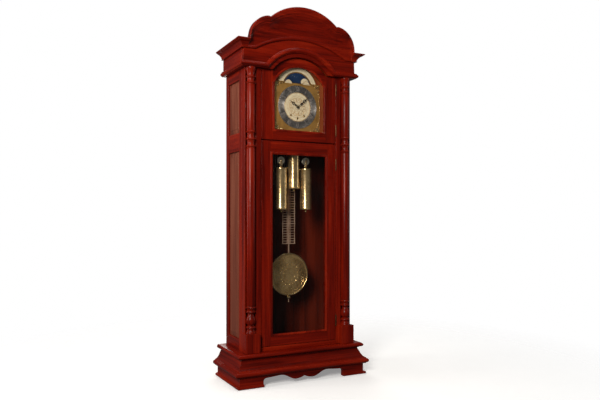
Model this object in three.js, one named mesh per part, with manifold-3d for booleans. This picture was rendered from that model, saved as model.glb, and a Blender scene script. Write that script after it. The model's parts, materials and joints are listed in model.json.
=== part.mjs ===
// Grandfather clock: a glazed floor-standing case with an arched hood, a moon-phase dial,
// a three-weight cable movement and a gridiron pendulum.
//
// Millimetres, +Z up. The origin is on the floor, under the middle of the case.
// The front faces -Y. Left and right are as seen by someone who faces the clock.

import * as THREE from 'three';
import { mergeVertices } from 'three/addons/utils/BufferGeometryUtils.js';
import Module from 'manifold-3d';

// ---- Driving dimensions -------------------------------------------------------------

const GAP = 0.3; // clearance between pieces that touch
const BACK_Y = 198; // the flat back of the clock, against the wall

// Case carcass
const CASE_HALF = 352; // half the width over the side frames
const CASE_FRONT = -112; // front plane of the posts and doors
const BOARD = 18; // thickness of the carcass boards
const POST_DEPTH = 50; // front posts, front to back
const BACK_PANEL = 8;

// Heights of the main levels
const APRON_TOP = 62;
const BASE_TOP = 187;
const DOOR_SPLIT = 1417; // middle of the gap between the two doors
const HOOD_BOTTOM = 1828;
const FRIEZE_BOTTOM = 1859;
const CORNICE_BOTTOM = 1930;
const CORNICE_TOP = 1978;
const CREST_TOP = 2200;

// Base
const FOOT_HALF = 408;
const FOOT_FRONT = -176;
const FOOT_WIDTH = 146;
const FOOT_BEAD = 14; // how far the bead at the foot stands out
const FOOT_BEAD_HEIGHT = 15;
const APRON = 22; // apron board thickness
const BASE_NOSE = 30; // how far the widest moulding stands out past the apron
const BOTTOM_LAP = 48; // how far the bottom board runs out past the case

// Columns
const COLUMN_X = 316;
const COLUMN_RADIUS = 26;
const COLUMN_GROOVE = 31; // radius of the groove that holds the column
const PLINTH_TOP = 298;
const PLINTH_INNER = 46; // from the column's axis to the plinth's inner side
const PLINTH_OUTER = 42; // from the column's axis to the plinth's outer side
const PLINTH_DEPTH = [36, 40]; // in front of the column's axis, and behind it

// Doors
const DOOR_HALF = 247;
const DOOR_DEPTH = 22;
const DOOR_CLEARANCE = 3; // gap round a door
const TRUNK_OPENING_HALF = 190;
const TRUNK_DOOR = { bottom: 212, top: DOOR_SPLIT - 3, openingBottom: 267, openingTop: 1348 };
const DIAL_DOOR = { bottom: DOOR_SPLIT + 3, shoulder: 1826, openingBottom: 1470 };
const DIAL_OPENING_HALF = 177;
const GLASS = 4;
const GLASS_REBATE = 6; // how far the glass tucks under the door's rails
const GLASS_SETBACK = 8; // from the door's face to the glass
const HINGE_RADIUS = 3.4;
const HINGE_LENGTH = 70;
const HINGE_LEAF = 22; // from the pin to the leaf's back edge
const HINGE_LEVELS = {
  dial_hinge_lower: 1500,
  dial_hinge_upper: 1750,
  trunk_hinge_lower: 330,
  trunk_hinge_upper: 1290,
};
const WAIST = { bottom: 1376, top: 1446 }; // the rail behind the gap between the doors
const REBATE_STEP = 12; // how far the posts stand in behind the doors

// The hood's arch: every arch in the hood is struck from this centre
const ARCH_Z = 1678;
const OPENING_ARCH = 195;
const DOOR_ARCH = 235;
const HOOD_ARCH = 238;
const MOULDING_ARCH = 262;
const LEDGE_START = 26; // from the spring of the arched moulding to the ledge behind it

// Hood and crown
const FRIEZE_HALF = 372;
const FRIEZE_FRONT = -135;
const CROWN_REACH = 48; // how far the cornice stands out past the frieze
const CREST_NOTCH = 218; // where the centre arch meets the side lobes
const LOBE_OUTER = 342; // where the side lobes meet the level cornice
const CREST_RISE = 84; // of the centre arch above its ends, and of the frieze's arch
const FRIEZE_ARCH_HALF = 300; // half the width of the arch over the frieze

// Dial
const DIAL_Z = 1630;
const DIAL_HALF = 152;
const DIAL_HALF_HEIGHT = 146;
const DIAL_FRONT = -82;
const DIAL_PLATE = 2;
const CHAPTER_RING = 1.5; // thickness; the ring stands in front of the plate
const HAND_BLADE = 1.5;
const HOUR_AHEAD = 8; // from the dial plate out to the hour hand's front
const MINUTE_AHEAD = 12; // from the dial plate out to the minute hand's front
const MOON_Z = 1742;
const DIAL_ARCH = 134;
const MOON_WINDOW = 94;
const MOON_DISC = 100;
const MOON_HUMP = 40; // radius of the two rounded horizons
const MOON_HUMP_X = 60;
const CHAPTER_OUTER = 130;
const CHAPTER_INNER = 88;
const WINDING_HOLE_X = 44;
const WINDING_HOLE_DROP = 52; // the outer two, below the centre of the dial
const WINDING_HOLE_STAGGER = 16; // how much lower the middle one is
const SURROUND = { half: 236, bottom: 1448, top: 1930, thickness: 10 };

// The hands show eight minutes past ten; angles are clockwise from twelve, in degrees
const MINUTE_ANGLE = 8 * 6;
const HOUR_ANGLE = 10 * 30 + 8 * 0.5;

// Movement
const SEAT_BOTTOM = 1500;
const PLATE_HALF = 126;
const PLATE_BOTTOM = 1520;
const PLATE_TOP = 1712;
const FRONT_PLATE_Y = -56;
const BACK_PLATE_Y = -2;
const PLATE = 2.5;
const WEIGHT_Y = -28;
const WEIGHT_PITCH = 84;
const DRUM_Z = 1580;
const SHEAVE_RADIUS = 20; // where the cable runs on the drum and on the pulley
const CABLE = 1.6; // cable diameter
const ESCAPE_Z = 1668;
const ESCAPE_RADIUS = 17;
const PENDULUM_Y = 40;
const PIVOT_Z = 1698;
const CHIME_TOP = 1470;
const CHIME_COUNT = 9;

// Pendulum and weights
const BOB_Z = 612;
const BOB_RADIUS = 133;
const BOB_HALF_DEPTH = 9;
const GRID_BOTTOM = 800;
const GRID_TOP = 1176;
const GRID_HALF = 44;
const WEIGHT_RADIUS = 35;
const WEIGHT_LENGTH = 252;
const WEIGHT_BOTTOMS = { left: 1012, middle: 1138, right: 1012 };

// ---- Finishes -----------------------------------------------------------------------

const FINISHES = {
  mahogany: { color: 0x7a120a, roughness: 0.3, metalness: 0 },
  panel_wood: { color: 0x6b3022, roughness: 0.35, metalness: 0 },
  inner_wood: { color: 0x3a0c06, roughness: 0.6, metalness: 0 },
  brass: { color: 0xc09040, roughness: 0.25, metalness: 1 },
  dark_metal: { color: 0x2a2420, roughness: 0.45, metalness: 0.8 },
  steel: { color: 0x9a9a9c, roughness: 0.3, metalness: 1 },
  chapter: { color: 0x4a403a, roughness: 0.4, metalness: 0.5 },
  moon: { color: 0x1a3a60, roughness: 0.5, metalness: 0 },
  glass: { color: 0xdfe8e6, roughness: 0.05, metalness: 0 },
};

function piece(name, geometry, finish) {
  const mesh = new THREE.Mesh(geometry, new THREE.MeshStandardMaterial(FINISHES[finish]));
  mesh.name = name;
  return mesh;
}

// ---- Geometry helpers ---------------------------------------------------------------

const wasm = await Module();
wasm.setup();

function toSolid(geometry) {
  const bare = geometry.clone();
  bare.deleteAttribute('normal');
  bare.deleteAttribute('uv');
  const merged = mergeVertices(bare, 1e-4);
  const mesh = new wasm.Mesh({
    numProp: 3,
    vertProperties: new Float32Array(merged.attributes.position.array),
    triVerts: new Uint32Array(merged.index.array),
  });
  return new wasm.Manifold(mesh);
}

function toGeometry(solid) {
  const mesh = solid.getMesh();
  const geometry = new THREE.BufferGeometry();
  geometry.setAttribute('position', new THREE.BufferAttribute(mesh.vertProperties, 3));
  geometry.setIndex(new THREE.BufferAttribute(mesh.triVerts, 1));
  geometry.computeVertexNormals();
  return geometry;
}

function join(first, ...others) {
  return toGeometry(others.reduce((solid, other) => solid.add(toSolid(other)), toSolid(first)));
}

function cut(first, ...others) {
  return toGeometry(others.reduce((solid, other) => solid.subtract(toSolid(other)), toSolid(first)));
}

// A block between two limits on each axis.
function block([x0, x1], [y0, y1], [z0, z1]) {
  const geometry = new THREE.BoxGeometry(x1 - x0, y1 - y0, z1 - z0);
  return geometry.translate((x0 + x1) / 2, (y0 + y1) / 2, (z0 + z1) / 2);
}

function extrude(shape, depth, curveSegments = 12) {
  return new THREE.ExtrudeGeometry(shape, { depth, curveSegments, bevelEnabled: false });
}

// An outline drawn in plan (X, Y), standing from z0 up.
function standUp(shape, z0, height, curveSegments) {
  return extrude(shape, height, curveSegments).translate(0, 0, z0);
}

// An outline drawn as seen from the front (X, Z), with its front face at yFront.
function faceOn(shape, yFront, thickness, curveSegments) {
  return extrude(shape, thickness, curveSegments)
    .rotateX(Math.PI / 2)
    .translate(0, yFront + thickness, 0);
}

// An outline drawn as seen from the side (Y, Z), running along X from x0.
function sideOn(shape, x0, thickness, curveSegments) {
  const axes = new THREE.Matrix4().makeBasis(
    new THREE.Vector3(0, 1, 0),
    new THREE.Vector3(0, 0, 1),
    new THREE.Vector3(1, 0, 0),
  );
  return extrude(shape, thickness, curveSegments).applyMatrix4(axes).translate(x0, 0, 0);
}

function outline(points) {
  return new THREE.Shape(points.map(([x, y]) => new THREE.Vector2(x, y)));
}

function rectangle(x0, x1, y0, y1) {
  return outline([[x0, y0], [x1, y0], [x1, y1], [x0, y1]]);
}

function disc(x, y, radius) {
  const shape = new THREE.Shape();
  shape.absarc(x, y, radius, 0, 2 * Math.PI, false);
  return shape;
}

function addHole(shape, hole, steps = 8) {
  shape.holes.push(new THREE.Path(hole.getPoints(steps)));
  return shape;
}

// A turned piece whose axis is +Z. Its profile lists [radius, z] from bottom to top.
function turnedUpright(profile, segments) {
  const points = profile.map(([r, z]) => new THREE.Vector2(r, z));
  return new THREE.LatheGeometry(points, segments).rotateX(Math.PI / 2);
}

// A turned piece whose axis is +Y. Its profile lists [radius, y] from front to back.
function turnedFacing(profile, segments) {
  return new THREE.LatheGeometry(profile.map(([r, y]) => new THREE.Vector2(r, y)), segments);
}

// A moulding: a section carried through stations. Each station has a point, the direction
// in which the section stands out, and the direction in which its height runs.
function moulding(stations, section) {
  const positions = [];
  for (const { at, out, up } of stations) {
    for (const [reach, height] of section) {
      positions.push(...at.map((value, axis) => value + out[axis] * reach + up[axis] * height));
    }
  }
  const count = section.length;
  const index = [];
  for (let s = 0; s + 1 < stations.length; s += 1) {
    for (let i = 0; i < count; i += 1) {
      const a = s * count + i;
      const b = s * count + ((i + 1) % count);
      index.push(a, a + count, b, b, a + count, b + count);
    }
  }
  const contour = section.map(([reach, height]) => new THREE.Vector2(reach, height));
  const last = (stations.length - 1) * count;
  for (const [a, b, c] of THREE.ShapeUtils.triangulateShape(contour, [])) {
    index.push(a, b, c);
    index.push(last + c, last + b, last + a);
  }
  return orientOutward(positions, index);
}

// Builds the geometry with its faces pointing out, whichever way the stations ran.
function orientOutward(positions, index) {
  let volume = 0;
  const corner = (i) => new THREE.Vector3().fromArray(positions, index[i] * 3);
  for (let i = 0; i < index.length; i += 3) {
    volume += corner(i).dot(corner(i + 1).cross(corner(i + 2)));
  }
  const geometry = new THREE.BufferGeometry();
  geometry.setAttribute('position', new THREE.Float32BufferAttribute(positions, 3));
  geometry.setIndex(volume < 0 ? index.reverse() : index);
  geometry.computeVertexNormals();
  return geometry;
}

const mirrorSides = [['left', -1], ['right', 1]];
const threeWays = [['left', -1], ['middle', 0], ['right', 1]];

// The two limits in X of something on one side, given by its distances from the middle.
function sideSpan(side, near, far) {
  return side < 0 ? [-far, -near] : [near, far];
}

// ---- Base ---------------------------------------------------------------------------

// Half of the front apron's lower edge, from the foot in to the centre.
function apronLowerEdge() {
  const inner = FOOT_HALF - FOOT_WIDTH;
  const edge = new THREE.CurvePath();
  const p = (x, z) => new THREE.Vector2(x, z);
  edge.add(new THREE.LineCurve(p(inner, 0), p(inner, 30)));
  edge.add(new THREE.QuadraticBezierCurve(p(inner, 30), p(inner - 4, 46), p(inner - 22, 48)));
  edge.add(new THREE.CubicBezierCurve(p(inner - 22, 48), p(190, 50), p(170, 54), p(150, 54)));
  edge.add(new THREE.CubicBezierCurve(p(150, 54), p(110, 52), p(92, 22), p(54, 21)));
  edge.add(new THREE.CubicBezierCurve(p(54, 21), p(34, 22), p(16, 26), p(0, 35)));
  return edge.getPoints(5).map(({ x, y }) => [x, y]);
}

function frontApron() {
  const right = apronLowerEdge();
  const left = right.slice(0, -1).reverse().map(([x, z]) => [-x, z]);
  const board = outline([
    [FOOT_HALF, APRON_TOP],
    [-FOOT_HALF, APRON_TOP],
    [-FOOT_HALF, 0],
    ...left.reverse(),
    ...right.reverse(),
    [FOOT_HALF, 0],
  ]);
  const beads = mirrorSides.map(([, side]) => {
    const across = sideSpan(side, right[right.length - 1][0] + 1, FOOT_HALF + FOOT_BEAD);
    return block(across, [FOOT_FRONT - FOOT_BEAD, FOOT_FRONT + APRON], [0, FOOT_BEAD_HEIGHT]);
  });
  return join(faceOn(board, FOOT_FRONT, APRON), ...beads);
}

function sideApron(side) {
  const front = FOOT_FRONT + APRON + GAP;
  const section = outline([
    [FOOT_HALF - APRON, 0],
    [FOOT_HALF + FOOT_BEAD, 0],
    [FOOT_HALF + FOOT_BEAD, FOOT_BEAD_HEIGHT],
    [FOOT_HALF, FOOT_BEAD_HEIGHT],
    [FOOT_HALF, APRON_TOP],
    [FOOT_HALF - APRON, APRON_TOP],
  ].map(([x, z]) => [side * x, z]));
  return faceOn(section, front, BACK_Y - front);
}

// The base moulding wraps the front and both sides: a bold nose, an ogee drawn in to a
// neck, and a thin cap under the case. It laps over the edge of the bottom board.
function baseMoulding() {
  const nose = FOOT_HALF + BASE_NOSE - CASE_HALF;
  const bottom = APRON_TOP + GAP;
  const lap = bottom + BOARD + GAP;
  const section = [
    [BOTTOM_LAP + GAP, bottom],
    [nose - 12, bottom],
    [nose - 3, bottom + 4],
    [nose, bottom + 14],
    [nose, bottom + 24],
    [nose - 5, bottom + 32],
    [nose - 12, bottom + 34],
    [nose - 22, bottom + 44],
    [nose - 36, bottom + 62],
    [nose - 46, bottom + 78],
    [nose - 49, bottom + 94],
    [nose - 44, bottom + 102],
    [nose - 26, bottom + 108],
    [nose - 25, bottom + 118],
    [nose - 32, BASE_TOP],
    [GAP, BASE_TOP],
    [GAP, lap],
    [BOTTOM_LAP + GAP, lap],
  ];
  const corner = (x, y, out) => ({ at: [x, y, 0], out, up: [0, 0, 1] });
  return moulding([
    corner(-CASE_HALF, BACK_Y, [-1, 0, 0]),
    corner(-CASE_HALF, CASE_FRONT, [-1, -1, 0]),
    corner(CASE_HALF, CASE_FRONT, [1, -1, 0]),
    corner(CASE_HALF, BACK_Y, [1, 0, 0]),
  ], section);
}

function buildBase() {
  const group = new THREE.Group();
  group.add(piece('base_apron_front', frontApron(), 'mahogany'));
  for (const [name, side] of mirrorSides) {
    group.add(piece(`base_apron_${name}`, sideApron(side), 'mahogany'));
  }
  group.add(piece('base_moulding', baseMoulding(), 'mahogany'));
  const floorHalf = CASE_HALF + BOTTOM_LAP;
  const floorBottom = APRON_TOP + GAP;
  const floor = block(
    [-floorHalf, floorHalf],
    [CASE_FRONT - BOTTOM_LAP, BACK_Y],
    [floorBottom, floorBottom + BOARD],
  );
  group.add(piece('bottom_board', floor, 'inner_wood'));
  return group;
}

// ---- Case ---------------------------------------------------------------------------

const CASE_BOTTOM = APRON_TOP + BOARD + 2 * GAP;
const CASE_TOP = CORNICE_TOP - BOARD - 2 * GAP;
const FRAME_FRONT = CASE_FRONT + POST_DEPTH + GAP;
const SIDE_STILE = 40;
const MIDDLE_RAIL = { bottom: 1354, top: 1461 };
const LOWER_PANEL = { bottom: 250, top: MIDDLE_RAIL.bottom };
const UPPER_PANEL = { bottom: MIDDLE_RAIL.top, top: 1770 };
const PANEL = 10;

// A side frame: two stiles and three rails round a lower and an upper panel.
function sideFrame(side) {
  const shape = rectangle(FRAME_FRONT, BACK_Y, CASE_BOTTOM, CASE_TOP);
  for (const { bottom, top } of [LOWER_PANEL, UPPER_PANEL]) {
    addHole(shape, rectangle(FRAME_FRONT + SIDE_STILE, BACK_Y - SIDE_STILE, bottom, top));
  }
  return sideOn(shape, side < 0 ? -CASE_HALF : CASE_HALF - BOARD, BOARD);
}

// A panel with a bevelled field, set into the frame and standing back from its face.
function sidePanel(side, { bottom, top }) {
  const front = FRAME_FRONT + SIDE_STILE + GAP;
  const back = BACK_Y - SIDE_STILE - GAP;
  const bevel = 22;
  const outer = [
    [front, bottom + GAP],
    [back, bottom + GAP],
    [back, top - GAP],
    [front, top - GAP],
  ];
  const inset = [[bevel, bevel], [-bevel, bevel], [-bevel, -bevel], [bevel, -bevel]];
  const face = CASE_HALF - 4;
  const ring = (x, scale) => outer.flatMap(([y, z], i) => [
    side * x,
    y + scale * inset[i][0],
    z + scale * inset[i][1],
  ]);
  const positions = [...ring(face - PANEL, 0), ...ring(face - 5, 0), ...ring(face, 1)];
  const index = [0, 1, 2, 0, 2, 3, 8, 10, 9, 8, 11, 10];
  for (const base of [0, 4]) {
    for (let i = 0; i < 4; i += 1) {
      const a = base + i;
      const b = base + ((i + 1) % 4);
      index.push(a, a + 4, b, b, a + 4, b + 4);
    }
  }
  return orientOutward(positions, index);
}

// A front post in plan: a groove for the column, and a rebate that the doors close on.
function cornerPost(side) {
  const inner = DOOR_HALF + DOOR_CLEARANCE;
  const back = CASE_FRONT + POST_DEPTH;
  const rebate = CASE_FRONT + DOOR_DEPTH + 0.5;
  const groove = [];
  const steps = 10;
  for (let i = 0; i <= steps; i += 1) {
    const angle = Math.PI * (1 - i / steps);
    groove.push([
      COLUMN_X + COLUMN_GROOVE * Math.cos(angle),
      CASE_FRONT + COLUMN_GROOVE * Math.sin(angle),
    ]);
  }
  const plan = [
    [inner, CASE_FRONT],
    ...groove,
    [CASE_HALF, CASE_FRONT],
    [CASE_HALF, back],
    [inner - REBATE_STEP, back],
    [inner - REBATE_STEP, rebate],
    [inner, rebate],
  ];
  const height = HOOD_BOTTOM - BASE_TOP - 2 * GAP;
  const post = standUp(outline(plan.map(([x, y]) => [side * x, y])), BASE_TOP + GAP, height);
  const [ahead, behind] = PLINTH_DEPTH;
  const plinth = block(
    sideSpan(side, COLUMN_X - PLINTH_INNER, COLUMN_X + PLINTH_OUTER),
    [CASE_FRONT - ahead, CASE_FRONT + behind],
    [BASE_TOP + GAP, PLINTH_TOP],
  );
  return join(post, plinth);
}

// Half-section of a full-length column: base rings, a vase, two shafts that meet in a
// ring group level with the gap between the doors, and a ringed cap.
function columnProfile() {
  const r = COLUMN_RADIUS;
  const bottom = PLINTH_TOP + GAP;
  const top = HOOD_BOTTOM - GAP;
  const ring = (z, swell) => [[r - 4, z - 7], [r + swell, z - 3], [r + swell, z + 3], [r - 4, z + 7]];
  return [
    [0, bottom],
    [r + 4, bottom],
    [r + 4, bottom + 10],
    ...ring(332, 3),
    [r - 7, 346],
    [r + 1, 368],
    [r + 2, 384],
    [r - 8, 408],
    ...ring(422, 2),
    ...ring(445, 3),
    [r, 462],
    [r, 1358],
    ...ring(1372, 3),
    [r - 6, 1386],
    ...ring(DOOR_SPLIT - 2, 4),
    [r - 6, 1442],
    ...ring(1456, 3),
    [r - 1, 1472],
    [r - 1, 1726],
    ...ring(1738, 3),
    ...ring(1772, 3),
    [r - 3, 1788],
    [r + 1, 1812],
    [r + 4, 1818],
    [r + 4, top],
    [0, top],
  ];
}

function buildCase() {
  const group = new THREE.Group();
  for (const [name, side] of mirrorSides) {
    group.add(piece(`side_frame_${name}`, sideFrame(side), 'mahogany'));
    group.add(piece(`side_panel_${name}`, sidePanel(side, LOWER_PANEL), 'panel_wood'));
    group.add(piece(`access_panel_${name}`, sidePanel(side, UPPER_PANEL), 'panel_wood'));
    group.add(piece(`corner_post_${name}`, cornerPost(side), 'mahogany'));
    const column = piece(`column_${name}`, turnedUpright(columnProfile(), 12), 'mahogany');
    column.position.set(side * COLUMN_X, CASE_FRONT, 0);
    group.add(column);
  }
  const backHalf = CASE_HALF - BOARD - GAP;
  const back = block([-backHalf, backHalf], [BACK_Y - BACK_PANEL, BACK_Y], [CASE_BOTTOM, CASE_TOP]);
  group.add(piece('back_panel', back, 'inner_wood'));

  const railHalf = DOOR_HALF + DOOR_CLEARANCE - GAP;
  const bottomRail = block(
    [-railHalf, railHalf],
    [CASE_FRONT, CASE_FRONT + DOOR_DEPTH],
    [CASE_BOTTOM, TRUNK_DOOR.bottom - DOOR_CLEARANCE],
  );
  group.add(piece('bottom_rail', bottomRail, 'mahogany'));
  const waistHalf = DOOR_HALF + DOOR_CLEARANCE - REBATE_STEP - GAP;
  const waistFront = CASE_FRONT + DOOR_DEPTH + 0.5;
  const waist = block(
    [-waistHalf, waistHalf],
    [waistFront, waistFront + BOARD],
    [WAIST.bottom, WAIST.top],
  );
  group.add(piece('waist_rail', waist, 'mahogany'));
  return group;
}

// ---- Hood and crown -----------------------------------------------------------------

function archPoints(radius, fromX, toX, steps) {
  const start = Math.acos(fromX / radius);
  const end = Math.acos(toX / radius);
  const points = [];
  for (let i = 0; i <= steps; i += 1) {
    const angle = start + ((end - start) * i) / steps;
    points.push([radius * Math.cos(angle), ARCH_Z + radius * Math.sin(angle)]);
  }
  return points;
}

function archHalfChord(radius, z) {
  return Math.sqrt(radius ** 2 - (z - ARCH_Z) ** 2);
}

// Height of the crown's upper edge: level cornice, side lobe, then the centre arch.
function crestHeight(x) {
  const d = Math.abs(x);
  const notchZ = CREST_TOP - CREST_RISE;
  if (d >= LOBE_OUTER) return CORNICE_TOP;
  if (d >= CREST_NOTCH) {
    const t = (LOBE_OUTER - d) / (LOBE_OUTER - CREST_NOTCH);
    const foot = CORNICE_TOP + 14;
    return foot + (notchZ + 4 - foot) * Math.sqrt(1 - (1 - t) ** 2);
  }
  const radius = (CREST_NOTCH ** 2 + CREST_RISE ** 2) / (2 * CREST_RISE);
  return CREST_TOP - radius + Math.sqrt(radius ** 2 - d ** 2);
}

// Height of the crown's lower edge: level at the corners, arched over the dial.
function crownFoot(x) {
  const radius = (FRIEZE_ARCH_HALF ** 2 + CREST_RISE ** 2) / (2 * CREST_RISE);
  const d = Math.min(Math.abs(x), FRIEZE_ARCH_HALF);
  return CORNICE_BOTTOM + CREST_RISE - radius + Math.sqrt(radius ** 2 - d ** 2);
}

function crownStationsX() {
  const lobeSteps = 9;
  const archSteps = 10;
  const half = [FRIEZE_HALF, LOBE_OUTER + 0.4];
  for (let i = 0; i <= lobeSteps; i += 1) {
    const angle = (Math.PI / 2) * (i / lobeSteps);
    half.push(LOBE_OUTER - (LOBE_OUTER - CREST_NOTCH) * (1 - Math.cos(angle)) - 0.1);
  }
  for (let i = 0; i < archSteps; i += 1) {
    half.push(CREST_NOTCH * (1 - i / archSteps) - 0.4 * (i === 0));
  }
  return [...half.map((x) => -x), 0, ...half.reverse()];
}

// The crown: a cove that runs along both sides and sweeps up over the front.
// Its section is drawn for a height of 1 and stretched to the local height.
function crownMoulding() {
  const section = [
    [GAP, 0],
    [9, 0],
    [13, 0.07],
    [10, 0.14],
    [14, 0.34],
    [24, 0.6],
    [36, 0.78],
    [42, 0.82],
    [42, 0.86],
    [CROWN_REACH, 0.9],
    [CROWN_REACH, 1],
    [GAP, 1],
  ];
  const station = (x, y, out) => {
    const foot = crownFoot(x);
    return { at: [x, y, foot], out, up: [0, 0, crestHeight(x) - foot] };
  };
  const xs = crownStationsX();
  const front = xs.map((x, i) => {
    const atCorner = i === 0 || i === xs.length - 1;
    return station(x, FRIEZE_FRONT, atCorner ? [Math.sign(x), -1, 0] : [0, -1, 0]);
  });
  return moulding([
    station(-FRIEZE_HALF, BACK_Y, [-1, 0, 0]),
    ...front,
    station(FRIEZE_HALF, BACK_Y, [1, 0, 0]),
  ], section);
}

// The eyebrow moulding: level along the sides and front, arched over the dial door.
function hoodMoulding() {
  const height = FRIEZE_BOTTOM - HOOD_BOTTOM - GAP;
  const section = [
    [GAP, 0],
    [9, 0],
    [18, height * 0.3],
    [18, height * 0.72],
    [12, height * 0.8],
    [8, height],
    [GAP, height],
  ];
  const spring = archHalfChord(MOULDING_ARCH, HOOD_BOTTOM);
  const level = (x, y, out) => ({ at: [x, y, HOOD_BOTTOM], out, up: [0, 0, 1] });
  const arch = archPoints(MOULDING_ARCH, -spring, spring, 24).map(([x, z], i, all) => {
    const radial = new THREE.Vector2(x, z - ARCH_Z).normalize();
    const atSpring = i === 0 || i === all.length - 1;
    const up = atSpring ? radial.add(new THREE.Vector2(0, 1)).normalize() : radial;
    const mitre = atSpring ? 1 / up.y : 1;
    return { at: [x, FRIEZE_FRONT, z], out: [0, -1, 0], up: [up.x * mitre, 0, up.y * mitre] };
  });
  const trim = moulding([
    level(-FRIEZE_HALF, BACK_Y, [-1, 0, 0]),
    level(-FRIEZE_HALF, FRIEZE_FRONT, [-1, -1, 0]),
    ...arch,
    level(FRIEZE_HALF, FRIEZE_FRONT, [1, -1, 0]),
    level(FRIEZE_HALF, BACK_Y, [1, 0, 0]),
  ], section);
  const ledges = mirrorSides.flatMap(([, side]) => {
    const z = [HOOD_BOTTOM, FRIEZE_BOTTOM - GAP];
    const reach = FRIEZE_HALF + 1;
    return [
      block(
        sideSpan(side, spring + LEDGE_START, reach),
        [FRIEZE_FRONT - 1, CASE_FRONT - GAP],
        z,
      ),
      block(sideSpan(side, CASE_HALF + GAP, reach), [CASE_FRONT - 1, BACK_Y], z),
    ];
  });
  return join(trim, ...ledges);
}

// The board behind the crown, with the arched cut-out that the dial door swings through.
function pedimentBoard() {
  const below = CREST_TOP - 30;
  const top = crownStationsX().map((x) => [x * 0.985, Math.min(crestHeight(x) - 12, below)]);
  const spring = archHalfChord(MOULDING_ARCH, HOOD_BOTTOM) + LEDGE_START - GAP;
  const inner = archHalfChord(HOOD_ARCH, HOOD_BOTTOM);
  const cutOut = archPoints(HOOD_ARCH, -inner, inner, 24);
  const shape = outline([
    [-FRIEZE_HALF + 1, FRIEZE_BOTTOM],
    [-spring, FRIEZE_BOTTOM],
    [-spring, HOOD_BOTTOM],
    ...cutOut,
    [spring, HOOD_BOTTOM],
    [spring, FRIEZE_BOTTOM],
    [FRIEZE_HALF - 1, FRIEZE_BOTTOM],
    ...top.reverse(),
  ]);
  return faceOn(shape, FRIEZE_FRONT, CASE_FRONT - FRIEZE_FRONT - GAP);
}

function buildHood() {
  const group = new THREE.Group();
  group.add(piece('hood_moulding', hoodMoulding(), 'mahogany'));
  group.add(piece('pediment_board', pedimentBoard(), 'mahogany'));
  group.add(piece('crown_moulding', crownMoulding(), 'mahogany'));
  for (const [name, side] of mirrorSides) {
    const board = block(
      sideSpan(side, CASE_HALF + GAP, FRIEZE_HALF - GAP),
      [CASE_FRONT, BACK_Y],
      [FRIEZE_BOTTOM, CORNICE_TOP - BOARD - GAP],
    );
    group.add(piece(`frieze_${name}`, board, 'mahogany'));
  }
  const topHalf = FRIEZE_HALF - GAP;
  const top = block([-topHalf, topHalf], [CASE_FRONT, BACK_Y], [CORNICE_TOP - BOARD, CORNICE_TOP]);
  group.add(piece('top_board', top, 'inner_wood'));
  return group;
}

// ---- Doors --------------------------------------------------------------------------

function dialDoorOutline() {
  const spring = archHalfChord(DOOR_ARCH, DIAL_DOOR.shoulder);
  return outline([
    [-DOOR_HALF, DIAL_DOOR.bottom],
    [DOOR_HALF, DIAL_DOOR.bottom],
    [DOOR_HALF, DIAL_DOOR.shoulder],
    ...archPoints(DOOR_ARCH, spring, -spring, 24),
    [-DOOR_HALF, DIAL_DOOR.shoulder],
  ]);
}

// The dial door's arched light, grown by an even margin.
function dialLight(margin) {
  const half = DIAL_OPENING_HALF + margin;
  return outline([
    [-half, DIAL_DOOR.openingBottom - margin],
    [half, DIAL_DOOR.openingBottom - margin],
    ...archPoints(OPENING_ARCH + margin, half, -half, 20),
  ]);
}

function trunkLight(margin) {
  const half = TRUNK_OPENING_HALF + margin;
  return rectangle(-half, half, TRUNK_DOOR.openingBottom - margin, TRUNK_DOOR.openingTop + margin);
}

// A door frame with a rebate cut from behind for its glass.
function doorFrame(shape, light) {
  const frame = faceOn(addHole(shape, light(0)), CASE_FRONT, DOOR_DEPTH);
  const rebate = faceOn(light(GLASS_REBATE), CASE_FRONT + GLASS_SETBACK, DOOR_DEPTH);
  return cut(frame, rebate);
}

function doorGlass(light) {
  return faceOn(light(GLASS_REBATE - GAP), CASE_FRONT + GLASS_SETBACK + GAP, GLASS);
}

// A butt hinge closed: its knuckle in front of the gap, its leaf let in beside the post.
function hinge() {
  const leaf = 0.8;
  const angle = Math.asin(leaf / HINGE_RADIUS);
  const plan = new THREE.Shape();
  plan.absarc(0, 0, HINGE_RADIUS, Math.PI / 2 + angle, Math.PI / 2 - angle + 2 * Math.PI, false);
  plan.lineTo(leaf, HINGE_LEAF);
  plan.lineTo(-leaf, HINGE_LEAF);
  plan.closePath();
  return standUp(plan, -HINGE_LENGTH / 2, HINGE_LENGTH, 8);
}

const HINGE_X = DOOR_HALF + DOOR_CLEARANCE / 2;
const HINGE_Y = CASE_FRONT - HINGE_RADIUS - GAP;

function buildDoors() {
  const group = new THREE.Group();
  group.add(piece('dial_door_frame', doorFrame(dialDoorOutline(), dialLight), 'mahogany'));
  group.add(piece('dial_door_glass', doorGlass(dialLight), 'glass'));
  const trunk = rectangle(-DOOR_HALF, DOOR_HALF, TRUNK_DOOR.bottom, TRUNK_DOOR.top);
  group.add(piece('trunk_door_frame', doorFrame(trunk, trunkLight), 'mahogany'));
  group.add(piece('trunk_door_glass', doorGlass(trunkLight), 'glass'));
  for (const [name, z] of Object.entries(HINGE_LEVELS)) {
    const part = piece(name, hinge(), 'brass');
    part.position.set(HINGE_X, HINGE_Y, z);
    group.add(part);
  }
  return group;
}

// ---- Dial ---------------------------------------------------------------------------

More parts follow.
